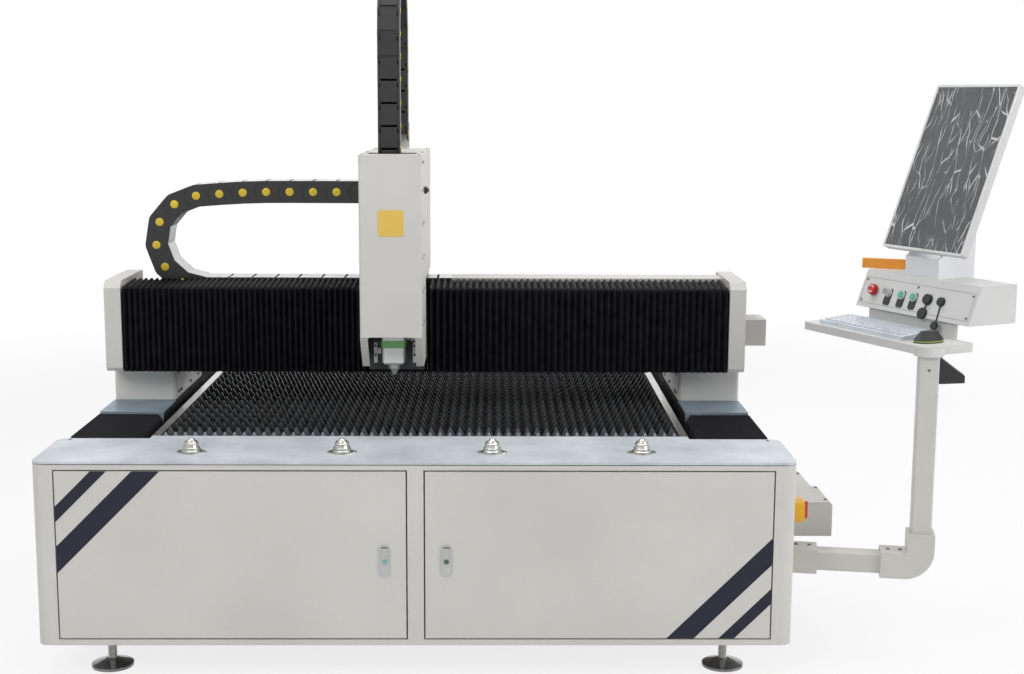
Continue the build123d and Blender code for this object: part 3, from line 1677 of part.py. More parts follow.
# Monitor: a thin tilted casing with a raised back and a lug on the stand's pivot
tilt = radians(monitor_tilt)
monitor_out = console_plane.z_dir * sin(tilt) - console_plane.y_dir * cos(tilt)
monitor_plane = Plane(
    origin=console_plane.from_local_coords((monitor_left, monitor_front, monitor_bottom)),
    x_dir=console_plane.x_dir,
    z_dir=monitor_out,
)
with BuildPart() as monitor_housing:
    with BuildSketch(monitor_plane):
        with Locations((monitor_width / 2, monitor_height / 2)):
            RectangleRounded(monitor_width, monitor_height, monitor_corner)
    extrude(amount=-monitor_thickness)
    with BuildSketch(monitor_plane.offset(-monitor_thickness)):
        with Locations((monitor_width / 2, monitor_height / 2)):
            Rectangle(monitor_width - 2 * monitor_back_inset, monitor_height - 2 * monitor_back_inset)
    extrude(amount=-monitor_back_depth, taper=monitor_back_taper)
    with BuildSketch(monitor_plane):
        with Locations((monitor_width / 2, monitor_height / 2)):
            Rectangle(monitor_width - 2 * screen_margin, monitor_height - 2 * screen_margin)
    extrude(amount=-screen_thickness, mode=Mode.SUBTRACT)
    lug_left = stand_left + stand_sheet + running_clearance
    lug_width = stand_right - stand_left - 2 * stand_sheet - 2 * running_clearance
    pivot_point = console_plane.from_local_coords((monitor_left, pivot_setback, pivot_height))
    pivot_local = monitor_plane.to_local_coords(pivot_point)
    with BuildSketch(console_profile(lug_left + lug_width / 4)):
        with Locations((pivot_setback, pivot_height)):
            Circle(pivot_lug_radius)
        lug_root = monitor_plane.from_local_coords((0, pivot_local.Y, -monitor_thickness))
        lug_local = console_plane.to_local_coords(lug_root)
        with BuildLine():
            Polyline(
                (pivot_setback, pivot_height + pivot_lug_radius),
                (pivot_setback, pivot_height - pivot_lug_radius),
                (lug_local.Y, lug_local.Z - pivot_lug_radius),
                (lug_local.Y + 2 * pivot_lug_radius * tan(tilt), lug_local.Z + pivot_lug_radius),
                close=True,
            )
        make_face()
        with Locations((pivot_setback, pivot_height)):
            Circle(pivot_radius + pin_clearance, mode=Mode.SUBTRACT)
    extrude(amount=lug_width / 2)

with BuildPart() as monitor_screen:
    with BuildSketch(monitor_plane):
        with Locations((monitor_width / 2, monitor_height / 2)):
            Rectangle(monitor_width - 2 * screen_margin, monitor_height - 2 * screen_margin)
    extrude(amount=-screen_thickness)

# Hand grip lying across the console's far end
with BuildPart() as hand_grip:
    grip_plane = Plane(
        origin=console_plane.from_local_coords((grip_place, grip_front, box_top)),
        x_dir=console_plane.x_dir * cos(radians(grip_turn)) + console_plane.y_dir * sin(radians(grip_turn)),
        z_dir=console_plane.z_dir,
    )
    with BuildSketch(grip_plane):
        Rectangle(grip_length, grip_depth, align=(Align.MIN, Align.MIN))
    extrude(amount=grip_height)

pieces = {
    "bed_frame": bed_frame,
    "front_cabinet": front_cabinet,
    "front_top_plate": front_top_plate,
    "side_panels": side_panels,
    "rear_panel": rear_panel,
    "slat_rails": slat_rails,
    "cutting_slats": cutting_slats,
    "ball_transfers": ball_transfers,
    "levelling_feet": levelling_feet,
    "y_guide_rails": y_guide_rails,
    "y_bellows_front": y_bellows_front,
    "y_bellows_rear": y_bellows_rear,
    "electrical_box": electrical_box,
    "switch_box": switch_box,
    "main_switch_knob": main_switch_knob,
    "arm_socket": arm_socket,
    "arm_tube": arm_tube,
    "arm_elbow": arm_elbow,
    "console_post": console_post,
    "door_left": door_left,
    "door_right": door_right,
    "latch_left": latch_left,
    "latch_right": latch_right,
    "latch_paddle_left": latch_paddle_left,
    "latch_paddle_right": latch_paddle_right,
    "gantry_beam": gantry_beam,
    "gantry_end_blocks": gantry_end_blocks,
    "bellows_end_plates": bellows_end_plates,
    "y_bearing_blocks": y_bearing_blocks,
    "y_servo_motors": y_servo_motors,
    "beam_end_covers": beam_end_covers,
    "x_guide_rails": x_guide_rails,
    "x_bellows_left": x_bellows_left,
    "x_bellows_right": x_bellows_right,
    "cable_duct": cable_duct,
    "cable_outlet_box": cable_outlet_box,
    "x_chain_links": x_chain_links,
    "x_chain_pins": x_chain_pins,
    "carriage_saddle": carriage_saddle,
    "z_housing": z_housing,
    "z_actuator": z_actuator,
    "z_chain_links": z_chain_links,
    "head_slide": head_slide,
    "cutting_head": cutting_head,
    "head_band": head_band,
    "nozzle": nozzle,
    "keyboard_shelf": keyboard_shelf,
    "button_box": button_box,
    "start_button": start_button,
    "stop_button": stop_button,
    "estop_button": estop_button,
    "key_switch": key_switch,
    "port_sockets": port_sockets,
    "keyboard": keyboard,
    "mouse": mouse,
    "pendant_holder": pendant_holder,
    "monitor_stand": monitor_stand,
    "monitor_housing": monitor_housing,
    "monitor_screen": monitor_screen,
    "hand_grip": hand_grip,
}

# The origin is under the middle of the whole machine, on the floor.
boxes = [piece.part.bounding_box() for piece in pieces.values()]
middle_x = (min(box.min.X for box in boxes) + max(box.max.X for box in boxes)) / 2
middle_y = (min(box.min.Y for box in boxes) + max(box.max.Y for box in boxes)) / 2
floor_z = min(box.min.Z for box in boxes)
to_origin = Location((-middle_x, -middle_y, -floor_z))

os.makedirs("parts", exist_ok=True)
for name, piece in pieces.items():
    piece.part.locate(to_origin)
    piece.part.label = name
    export_step(piece.part, f"parts/{name}.step")
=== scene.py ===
import json
import math
import random

import bpy
from mathutils import Matrix, Vector


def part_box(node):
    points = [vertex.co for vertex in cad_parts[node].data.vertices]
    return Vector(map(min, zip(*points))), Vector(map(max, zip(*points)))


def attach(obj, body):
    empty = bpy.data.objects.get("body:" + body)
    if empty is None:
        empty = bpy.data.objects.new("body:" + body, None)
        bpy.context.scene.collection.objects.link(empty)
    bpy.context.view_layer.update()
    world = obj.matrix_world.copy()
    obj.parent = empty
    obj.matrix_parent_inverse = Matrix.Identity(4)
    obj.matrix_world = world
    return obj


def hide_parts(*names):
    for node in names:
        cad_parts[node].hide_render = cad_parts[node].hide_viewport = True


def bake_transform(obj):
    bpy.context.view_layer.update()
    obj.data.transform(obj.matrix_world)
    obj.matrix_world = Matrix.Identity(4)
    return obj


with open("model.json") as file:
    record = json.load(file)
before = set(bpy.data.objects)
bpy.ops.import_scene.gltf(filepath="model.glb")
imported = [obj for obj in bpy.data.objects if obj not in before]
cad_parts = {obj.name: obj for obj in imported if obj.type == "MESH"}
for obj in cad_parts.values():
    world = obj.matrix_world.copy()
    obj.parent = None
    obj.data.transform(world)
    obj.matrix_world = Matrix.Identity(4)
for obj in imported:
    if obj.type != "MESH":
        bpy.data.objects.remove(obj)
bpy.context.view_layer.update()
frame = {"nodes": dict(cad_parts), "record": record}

# Machine millimetres: X to the right, Y to the back, Z up, from the cabinet's front centre on the floor
mm = 0.001
plate_start, plate_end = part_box("front_top_plate")
machine_origin = Vector(((plate_start.x + plate_end.x) / 2, plate_start.y, 0))
chance = random.Random(7)


def edges(node):
    """Lowest and highest corner of a CAD node in machine millimetres."""
    low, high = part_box(node)
    return (low - machine_origin) / mm, (high - machine_origin) / mm


_, cabinet_high = edges("front_cabinet")
plate_low, plate_high = edges("front_top_plate")
door_low, door_high = edges("door_left")
right_door_low, right_door_high = edges("door_right")
_, rail_high = edges("slat_rails")
slats_low, slats_high = edges("cutting_slats")
front_bellows_low, front_bellows_high = edges("y_bellows_front")
rear_bellows_low, rear_bellows_high = edges("y_bellows_rear")
beam_low, _ = edges("gantry_beam")
cover_low, cover_high = edges("beam_end_covers")
blocks_low, blocks_high = edges("gantry_end_blocks")
left_bellows_low, left_bellows_high = edges("x_bellows_left")
right_bellows_low, right_bellows_high = edges("x_bellows_right")
housing_low, housing_high = edges("z_housing")
saddle_low, saddle_high = edges("carriage_saddle")
x_chain_low, _ = edges("x_chain_links")
z_chain_low, _ = edges("z_chain_links")
slide_low, slide_high = edges("head_slide")
nozzle_low, nozzle_high = edges("nozzle")
transfer_low, transfer_high = edges("ball_transfers")
electrical_low, electrical_high = edges("electrical_box")
post_low, post_high = edges("console_post")
feet_low, feet_high = edges("levelling_feet")
carriage_middle = (housing_low.x + housing_high.x) / 2
slat_pitch = 70

# Rubber flaps beside the slat rails
flap_inner = rail_high.x + 6
flap_outer = blocks_high.x - 203
flap_bottom, flap_top = 604, 667
flap_thickness = 4

# Console directions: along the shelf, back from the operator, and the lean of the button panel
console_angle = math.radians(65)
console_along = Vector((math.cos(console_angle), -math.sin(console_angle), 0))
console_back = Vector((math.sin(console_angle), math.cos(console_angle), 0))
up = Vector((0, 0, 1))
post_middle = Vector(((post_low.x + post_high.x) / 2, (post_low.y + post_high.y) / 2, 0))
box_bottom, box_top = 1020, 1138
box_front, box_slope = 133, 46
panel_lean = math.atan2(box_slope, box_top - box_bottom)
panel_out = up * math.sin(panel_lean) - console_back * math.cos(panel_lean)
control_row = 1075
estop_place, key_place, start_place, stop_place = -442, -374, -311, -254
arm_angle = math.radians(10)
arm_along = Vector((math.cos(arm_angle), -math.sin(arm_angle), 0))

# Monitor plane
monitor_left, monitor_front, monitor_bottom = -440, 173, 1220
monitor_width, monitor_height = 368, 555
monitor_tilt = math.radians(21)
monitor_out = up * math.sin(monitor_tilt) - console_back * math.cos(monitor_tilt)


# Node graphs

def feed(tree, made, inputs):
    """Link a node's inputs to sockets, or set them to constants."""
    for key, value in inputs.items():
        if isinstance(value, bpy.types.NodeSocket):
            tree.links.new(value, made.inputs[key])
        else:
            made.inputs[key].default_value = value


def node(tree, kind, inputs=None, **settings):
    """A shader node with its settings and inputs."""
    made = tree.nodes.new(kind)
    for key, value in settings.items():
        setattr(made, key, value)
    feed(tree, made, inputs or {})
    return made


def tone(colour, factor=1.0):
    """Linear colour of an 8-bit screen colour, made lighter or darker by a factor."""
    return tuple(min(1, (value / 255) ** 2.2 * factor) for value in colour) + (1,)


def start_material(name):
    material = bpy.data.materials.new(name)
    material.use_nodes = True
    tree = material.node_tree
    where = node(tree, "ShaderNodeTexCoord").outputs["Object"]
    return material, tree, tree.nodes["Principled BSDF"], where


def noise(tree, where, scale, detail=3):
    return node(tree, "ShaderNodeTexNoise", {"Vector": where, "Scale": scale, "Detail": detail})


def ramp(tree, factor, low, high, from_low=0.3, from_high=0.7):
    """A colour that runs from low to high with a factor."""
    made = node(tree, "ShaderNodeValToRGB", {"Fac": factor})
    made.color_ramp.elements[0].position = from_low
    made.color_ramp.elements[0].color = low
    made.color_ramp.elements[1].position = from_high
    made.color_ramp.elements[1].color = high
    return made.outputs["Color"]


def between(tree, value, low, high, start=0.0, end=1.0):
    """A number that runs from start to end while a value runs from low to high."""
    ends = {"From Min": low, "From Max": high, "To Min": start, "To Max": end}
    return node(tree, "ShaderNodeMapRange", {"Value": value, **ends}).outputs["Result"]


def spread(tree, factor, low, high):
    """A number that runs from low to high over the middle of a noise."""
    return between(tree, factor, 0.3, 0.7, low, high)


def calc(tree, operation, first, second=0.0):
    return node(tree, "ShaderNodeMath", {0: first, 1: second}, operation=operation).outputs[0]


def mix(tree, factor, first, second, blend="MIX"):
    """Two colours mixed by a factor; each is a socket or a constant."""
    inputs = {"Factor": factor, "A": first, "B": second}
    return node(tree, "ShaderNodeMix", inputs, data_type="RGBA", blend_type=blend).outputs["Result"]


def stretched(tree, where, scale):
    return node(tree, "ShaderNodeMapping", {"Vector": where, "Scale": scale}).outputs["Vector"]


def add_bump(tree, shader, height, strength, distance, edge=0):
    """Bump on the surface, over softened edges where an edge radius is given."""
    bump = node(tree, "ShaderNodeBump", {"Height": height, "Strength": strength, "Distance": distance})
    if edge:
        soft = node(tree, "ShaderNodeBevel", {"Radius": edge}, samples=4)
        tree.links.new(soft.outputs["Normal"], bump.inputs["Normal"])
    tree.links.new(bump.outputs["Normal"], shader.inputs["Normal"])


def painted(name, colour, rough=0.5, spot=0.05, edge=0.002):
    """Powder coat: a fine orange-peel skin with slow changes of tone and faint handling marks."""
    material, tree, shader, where = start_material(name)
    slow = noise(tree, where, 2.3).outputs["Fac"]
    fine = noise(tree, where, 650, 2).outputs["Fac"]
    smudge = noise(tree, where, 11, 5).outputs["Fac"]
    base = ramp(tree, slow, tone(colour, 1 - spot), tone(colour, 1 + spot))
    speckle = ramp(tree, fine, (0.94, 0.94, 0.94, 1), (1, 1, 1, 1), 0.35, 0.55)
    feed(tree, shader, {
        "Base Color": mix(tree, 1, base, speckle, "MULTIPLY"),
        "Roughness": spread(tree, smudge, rough - 0.06, rough + 0.08),
        "Specular IOR Level": 0.3,
    })
    add_bump(tree, shader, fine, 0.12, 0.0004, edge)
    return material


def metal(name, colour, rough=0.32, grain=(40, 900, 900), spot=0.12, metallic=1.0, edge=0.001):
    """Brushed or rolled metal, with streaks along one direction."""
    material, tree, shader, where = start_material(name)
    streak = noise(tree, stretched(tree, where, grain), 1, 4).outputs["Fac"]
    slow = noise(tree, where, 9, 4).outputs["Fac"]
    feed(tree, shader, {
        "Base Color": ramp(tree, slow, tone(colour, 1 - spot), tone(colour, 1 + spot)),
        "Roughness": spread(tree, streak, rough - 0.1, rough + 0.12),
        "Metallic": metallic,
    })
    add_bump(tree, shader, streak, 0.08, 0.0003, edge)
    return material


def galvanised(name, dark, light):
    """Zinc-coated sheet: pale crystals, soft cloudy patches and fine rolling marks."""
    material, tree, shader, where = start_material(name)
    crystal = node(tree, "ShaderNodeTexVoronoi", {"Vector": where, "Scale": 85})
    cloud = noise(tree, where, 6, 6).outputs["Fac"]
    streak = noise(tree, stretched(tree, where, (9, 260, 260)), 1, 3).outputs["Fac"]
    cells = node(tree, "ShaderNodeSeparateColor", {"Color": crystal.outputs["Color"]}).outputs["Red"]
    base = ramp(tree, cloud, tone(dark), tone(light))
    flakes = ramp(tree, cells, (0.93, 0.94, 0.95, 1), (1, 1, 1, 1), 0, 1)
    feed(tree, shader, {
        "Base Color": mix(tree, 1, base, flakes, "MULTIPLY"),
        "Roughness": spread(tree, streak, 0.42, 0.58),
        "Metallic": 0.2,
    })
    add_bump(tree, shader, streak, 0.05, 0.0003, 0.001)
    return material


def plastic(name, colour, rough=0.4, spot=0.1, grain=900, edge=0.0008, coat=0.0):
    """Moulded plastic with a fine eroded grain."""
    material, tree, shader, where = start_material(name)
    fine = noise(tree, where, grain, 2).outputs["Fac"]
    slow = noise(tree, where, 14, 4).outputs["Fac"]
    feed(tree, shader, {
        "Base Color": ramp(tree, slow, tone(colour, 1 - spot), tone(colour, 1 + spot)),
        "Roughness": spread(tree, fine, rough - 0.07, rough + 0.07),
        "Coat Weight": coat,
    })
    add_bump(tree, shader, fine, 0.1, 0.0002, edge)
    return material


def bellows_cloth(name):
    """Coated cloth: near black, with a fine weave and dust on the folds."""
    material, tree, shader, where = start_material(name)
    weave = node(tree, "ShaderNodeTexChecker", {"Vector": where, "Scale": 700}).outputs["Fac"]
    dust = noise(tree, where, 30, 5).outputs["Fac"]
    feed(tree, shader, {
        "Base Color": ramp(tree, dust, (0.003, 0.003, 0.0042, 1), (0.009, 0.009, 0.011, 1)),
        "Roughness": spread(tree, dust, 0.5, 0.66),
        "Specular IOR Level": 0.12,
    })
    add_bump(tree, shader, weave, 0.1, 0.0002)
    return material


def slat_steel(name):
    """Dark steel strip: mill scale and heat marks, with painted light: lighter tips, a lighter first row and painted
    glints on the cut edges.
    """
    material, tree, shader, where = start_material(name)
    place = node(tree, "ShaderNodeSeparateXYZ", {"Vector": where}).outputs
    normal = node(tree, "ShaderNodeNewGeometry").outputs["Normal"]
    facing = node(tree, "ShaderNodeSeparateXYZ", {"Vector": normal}).outputs["Y"]
    painted_tip_depth, painted_front_row_reach, painted_glint_reach = 26, slat_pitch * 1.5, 900
    front_edge = machine_origin.y + slats_low.y * mm
    # Painted light: the tooth tips turn lighter towards the top.
    painted_tip_light = between(tree, place["Z"], (slats_high.z - painted_tip_depth) * mm, slats_high.z * mm)
    # Painted light: the first row of slats is lighter than the rows behind.
    painted_front_row_light = between(tree, place["Y"], front_edge, front_edge + painted_front_row_reach * mm, 1, 0)
    # Painted glints: the cut edges are bright, and brighter further back.
    painted_glint_rise = between(tree, place["Y"], front_edge, front_edge + painted_glint_reach * mm)
    cut_edge = calc(tree, "LESS_THAN", calc(tree, "ABSOLUTE", facing), 0.5)
    scale = noise(tree, where, 55, 5).outputs["Fac"]
    burn = noise(tree, where, 13, 4).outputs["Fac"]
    body = ramp(tree, scale, (0.009, 0.0095, 0.0105, 1), (0.026, 0.027, 0.029, 1))
    heat = ramp(tree, burn, (0.75, 0.75, 0.8, 1), (1.25, 1.1, 0.95, 1))
    painted_glint = ramp(tree, painted_glint_rise, (0.1, 0.1, 0.105, 1), (0.5, 0.5, 0.51, 1), 0, 1)
    colour = mix(tree, 1, body, heat, "MULTIPLY")
    colour = mix(tree, painted_tip_light, colour, (0.07, 0.075, 0.08, 1))
    colour = mix(tree, painted_front_row_light, colour, (0.3, 0.325, 0.35, 1))
    feed(tree, shader, {
        "Base Color": mix(tree, cut_edge, colour, painted_glint),
        "Roughness": spread(tree, scale, 0.38, 0.55),
        "Metallic": 0.55,
    })
    add_bump(tree, shader, scale, 0.15, 0.0006)
    return material


def crinkle(tree, place, stretch, turn, width):
    """Thin creases of even width: the edges of long, leaning cells."""
    laid = node(tree, "ShaderNodeMapping", {"Vector": place, "Scale": stretch, "Rotation": (0, 0, turn)})
    cells = node(tree, "ShaderNodeTexVoronoi", {"Vector": laid.outputs["Vector"], "Scale": 1},
                 feature="DISTANCE_TO_EDGE", voronoi_dimensions="2D")
    return between(tree, cells.outputs["Distance"], 0, width, 1, 0)


def film_over_screen(name):
    """Clear film: faint on the flats, with crisp white creases that lean across the screen; the white on the creases
    is painted highlight.
    """
    material, tree, shader, where = start_material(name)
    along = node(tree, "ShaderNodeVectorMath", {0: where, 1: console_along}, operation="DOT_PRODUCT").outputs["Value"]
    height = node(tree, "ShaderNodeSeparateXYZ", {"Vector": where}).outputs["Z"]
    flat = node(tree, "ShaderNodeCombineXYZ", {"X": along, "Y": height}).outputs["Vector"]
    drift = noise(tree, flat, 7, 2).outputs["Color"]
    sway = node(tree, "ShaderNodeVectorMath", {0: drift, 1: (0.07, 0.05, 0)}, operation="MULTIPLY").outputs["Vector"]
    place = node(tree, "ShaderNodeVectorMath", {0: flat, 1: sway}, operation="ADD").outputs["Vector"]
    lines = None
    for stretch, turn, width, patch in (((30, 7, 1), 0.4, 0.04, 8), ((26, 6, 1), 0.22, 0.036, 11),
                                        ((32, 7, 1), -0.3, 0.04, 9)):
        kept = between(tree, noise(tree, flat, patch, 2).outputs["Fac"], 0.48, 0.62)
        crease = calc(tree, "MULTIPLY", crinkle(tree, place, stretch, turn, width), kept)
        lines = calc(tree, "MAXIMUM", lines, crease) if lines else crease
    # Painted highlights: the crease lines are drawn white on the film.
    painted_highlight_cover = between(tree, lines, 0, 1, 0.1, 0.95)
    feed(tree, shader, {"Base Color": (0.82, 0.84, 0.86, 1), "Roughness": 0.2, "Alpha": painted_highlight_cover})
    add_bump(tree, shader, lines, 0.4, 0.002)
    return material


def screen_glass(name):
    """Dark matt display behind its film."""
    material, tree, shader, where = start_material(name)
    haze = noise(tree, where, 5, 4).outputs["Fac"]
    feed(tree, shader, {
        "Base Color": ramp(tree, haze, (0.024, 0.024, 0.027, 1), (0.05, 0.05, 0.053, 1)),
        "Roughness": spread(tree, haze, 0.3, 0.42),
        "Specular IOR Level": 0.25,
    })
    return material


materials = {
    "body_paint": painted("body_paint", (203, 201, 196)),
    "arm_paint": painted("arm_paint", (198, 197, 191), 0.4),
    "galvanised": galvanised("galvanised", (176, 183, 188), (206, 211, 214)),
    "slat_steel": slat_steel("slat_steel"),
    "bright_steel": metal("bright_steel", (198, 197, 192), 0.28),
    "bellows_cloth": bellows_cloth("bellows_cloth"),
    "chain_plastic": plastic("chain_plastic", (34, 34, 35), 0.4),
    "pin_yellow": plastic("pin_yellow", (214, 186, 52), 0.42),
    "head_white": metal("head_white", (232, 233, 231), 0.4, metallic=0.15),
    "band_green": plastic("band_green", (126, 190, 114), 0.4),
    "latch_black": metal("latch_zinc", (176, 178, 176), 0.36, metallic=0.7),
    "switch_yellow": plastic("switch_yellow", (224, 168, 34), 0.4),
    "control_red": plastic("control_red", (186, 40, 34), 0.36),
    "button_green": plastic("button_green", (74, 172, 140), 0.32, coat=0.4),
    "key_metal": metal("key_metal", (190, 190, 188), 0.28),
    "port_black": plastic("port_black", (34, 34, 36), 0.42),
    "keyboard_grey": plastic("keyboard_grey", (205, 212, 220), 0.3, coat=0.6),
    "screen_dark": screen_glass("screen_dark"),
    "grip_orange": plastic("grip_orange", (236, 152, 52), 0.42),
    "motor_black": plastic("motor_black", (30, 30, 32), 0.45),
    "module_aluminium": metal("module_aluminium", (206, 208, 208), 0.34, (900, 900, 40)),
}
navy_paint = painted("navy_paint", (32, 35, 49), 0.4, 0.08, 0)
sign_yellow = painted("sign_yellow", (222, 186, 92), 0.38, 0.05, 0.0008)
screw_steel = metal("screw_steel", (112, 112, 112), 0.36, metallic=0.8)
# Dark grey: the painted shadow line under the top plate, and the vent slots on the monitor's back.
shadow_line_and_vent_dark = plastic("shadow_line_and_vent_dark", (62, 60, 58), 0.6)
panel_edge = plastic("panel_edge", (158, 157, 154), 0.6)
console_paint = painted("console_paint", (208, 208, 207), 0.4)
slide_black = metal("slide_black", (52, 52, 55), 0.4, metallic=0.3)
nozzle_steel = metal("nozzle_steel", (186, 187, 184), 0.4, metallic=0.35)
band_brass = metal("band_brass", (170, 160, 124), 0.3, metallic=0.8)
cup_steel = metal("cup_steel", (172, 172, 166), 0.24)
stand_paint = painted("stand_paint", (224, 224, 229), 0.4)
legend_black = plastic("legend_black", (40, 40, 42), 0.36)
crossbar = metal("crossbar_aluminium", (205, 206, 206), 0.34, (900, 60, 900), metallic=0.6)
clear_film = film_over_screen("clear_film")
# Chrome of the levelling feet: the dark base colour paints in the reflection of a dark room.
chrome_painted_dark_reflection = metal("chrome_painted_dark_reflection", (128, 128, 130), 0.16, (30, 30, 600), 0.3)
# Bellows end plates: a darker bluish steel whose base colour paints in the reflection of the black bellows.
steel_painted_dark_reflection = metal("steel_painted_dark_reflection", (138, 154, 168), 0.4, (20, 700, 700), 0.2, 0.6)
teal_key = plastic("teal_key", (120, 158, 160), 0.3)
green_key = plastic("green_key", (74, 100, 92), 0.3)
mouse_edge = plastic("mouse_edge", (170, 190, 60), 0.35)

slot_of = {entry["node"]: entry["material_slot"] for entry in frame["record"]["subparts"]}
for name, piece in frame["nodes"].items():
    piece.data.materials.clear()
    piece.data.materials.append(materials[slot_of[name]])
own_looks = {
    "levelling_feet": chrome_painted_dark_reflection,
    "bellows_end_plates": steel_painted_dark_reflection,
    "carriage_saddle": slide_black,
    "head_slide": slide_black,
    "nozzle": nozzle_steel,
    "button_box": console_paint,
    "monitor_stand": stand_paint,
    "ball_transfers": cup_steel,
    "monitor_housing": console_paint,
    "keyboard_shelf": console_paint,
}
for name, look in own_looks.items():
    frame["nodes"][name].data.materials[0] = look


# Forms in machine millimetres

def ring_faces(rings, size):
    """Faces that join each ring of points to the next."""
    faces = []
    for ring in range(rings - 1):
        for side in range(size):
            a, b = ring * size + side, ring * size + (side + 1) % size
            faces.append((a, b, b + size, a + size))
    return faces


class Form:
    """Points and faces of one piece."""

    def __init__(self):
        self.points = []
        self.faces = []

    def add(self, points, faces, place=None):
        base = len(self.points)
        for point in points:
            point = Vector(point)
            self.points.append(place @ point if place else point)
        self.faces.extend(tuple(base + index for index in face) for face in faces)

    def prism(self, outline, depth, place=None):
        """A flat outline in local X and Y, raised along local Z."""
        count = len(outline)
        points = [(x, y, 0) for x, y in outline] + [(x, y, depth) for x, y in outline]
        faces = [tuple(range(count - 1, -1, -1)), tuple(range(count, 2 * count))]
        self.add(points, faces + ring_faces(2, count), place)

    def lathe(self, profile, place=None, sides=24):
        """A profile of (radius, height) turned round local Z."""
        points = []
        for radius, height in profile:
            for step in range(sides):
                angle = 2 * math.pi * step / sides
                points.append((radius * math.cos(angle), radius * math.sin(angle), height))
        faces = ring_faces(len(profile), sides)
        faces.append(tuple(range(sides - 1, -1, -1)))
        faces.append(tuple(range((len(profile) - 1) * sides, len(profile) * sides)))
        self.add(points, faces, place)

    def block(self, low, high, place=None):
        x0, y0, z0 = low
        x1, y1, z1 = high
        outline = [(x0, y0), (x1, y0), (x1, y1), (x0, y1)]
        lifted = Matrix.Translation((0, 0, z0))
        self.prism(outline, z1 - z0, place @ lifted if place else lifted)


def place_at(origin, along, out):
    """A local frame with its X along one direction and its Z out of a surface."""
    side = out.cross(along)
    turn = Matrix((along, side, out)).transposed().to_4x4()
    return Matrix.Translation(origin) @ turn


def stand_at(x, y, z, along, out):
    return place_at(Vector((x, y, z)), along, out)


def console_point(along, back, height):
    return post_middle + console_along * along + console_back * back + up * height


def panel_place(along, height):
    back = box_front + box_slope * (height - box_bottom) / (box_top - box_bottom)
    return place_at(console_point(along, back, height), console_along, panel_out)


def show(name, data):
    """A new object in the scene."""
    made = bpy.data.objects.new(name, data)
    bpy.context.scene.collection.objects.link(made)
    return made


def make(name, form, material, body=None, slot=None, smooth=0, bevel=0):
    """A piece from a form, on its body when one is given; without a material it takes its slot's."""
    mesh = bpy.data.meshes.new(name)
    mesh.from_pydata([machine_origin + Vector(point) * mm for point in form.points], [], form.faces)
    mesh.validate()
    mesh.update()
    piece = show(name, mesh)
    mesh.materials.append(material or materials[slot])
    if smooth:
        mesh.shade_smooth()
        mesh.set_sharp_from_angle(angle=math.radians(smooth))
    if bevel:
        soften = piece.modifiers.new("soft_edges", "BEVEL")
        soften.width = bevel * mm
        soften.segments = 2
        soften.limit_method = "ANGLE"
    if body:
        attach(piece, body)
    return piece


def rounded(width, height, radius, steps=5):
    """A rectangle with round corners about its middle."""
    outline = []
    for turn, (x, y) in enumerate(((1, 1), (-1, 1), (-1, -1), (1, -1))):
        for step in range(steps + 1):
            angle = math.pi / 2 * (turn + step / steps)
            outline.append((
                x * (width / 2 - radius) + radius * math.cos(angle),
                y * (height / 2 - radius) + radius * math.sin(angle),
            ))
    return outline


def screws(name, places, body, radius=5, height=3, material=screw_steel):
    """Socket screw heads, each standing on a surface with a hex recess."""
    form = Form()
    for place in places:
        form.lathe(
            [(radius, 0), (radius, height * 0.7), (radius * 0.85, height), (radius * 0.5, height),
             (radius * 0.45, height * 0.4)],
            place, 12,
        )
    return make(name, form, material, body, "bright_steel", 30)


front = Vector((0, -1, 0))
right = Vector((1, 0, 0))
back = Vector((0, 1, 0))


# Slat table: fine-toothed strips in the place of the coarse ones
slat_thickness = 4
tooth_pitch = 30
tooth_depth = 28
tip_half_width = 1.5


def slat(form, y, shift):
    reach_left, reach_right = slats_low.x, slats_high.x
    count = round((reach_right - reach_left) / tooth_pitch)
    step = (reach_right - reach_left) / count
    painted_tip_light, valley, foot = slats_high.z, slats_high.z - tooth_depth, slats_low.z
    for tooth in range(count):
        x0 = reach_left + tooth * step
        x1 = x0 + step
        peak = (x0 + x1) / 2 + shift
        points = []
        for depth in (y, y + slat_thickness):
            points += [(x0, depth, foot), (x1, depth, foot), (x1, depth, valley),
                       (peak + tip_half_width, depth, painted_tip_light), (peak - tip_half_width, depth, painted_tip_light), (x0, depth, valley)]
        faces = [(0, 1, 2, 5), (5, 2, 3, 4), (7, 6, 11, 8), (8, 11, 10, 9), (2, 8, 9, 3), (3, 9, 10, 4),
                 (4, 10, 11, 5), (0, 6, 7, 1)]
        form.add(points, faces)


slat_form = Form()
slat_count = round((slats_high.y - slats_low.y - slat_thickness) / slat_pitch) + 1
for index in range(slat_count):
    slat(slat_form, slats_low.y + index * slat_pitch, chance.uniform(-2, 2))
slats = make("fine_slats", slat_form, None, "bed", "slat_steel")
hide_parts("cutting_slats")


# Bellows: folded segments; each segment's share of the travel is worked out, but no segment is moved by it

def blend_time(share):
    """How far along a smooth blend a share is reached."""
    return 0.5 - math.sin(math.asin(1 - 2 * share) / 3)


def share_span(share, length):
    """Start and end, about a place, of a blend that has the given share there and changes evenly over a length."""
    t = blend_time(share)
    reach = max(length * 6 * t * (1 - t), length * 0.05)
    return -t * reach, (1 - t) * reach


def fold_profile(start, end, folds, depth, flat):
    """Places along the run and how far each is behind the crest line."""
    step = (end - start) / folds
    profile = [(start, depth)]
    for fold in range(folds):
        crest = start + (fold + 0.5) * step
        profile += [(crest - flat / 2, 0), (crest + flat / 2, 0), (start + (fold + 1) * step, depth)]
    return profile


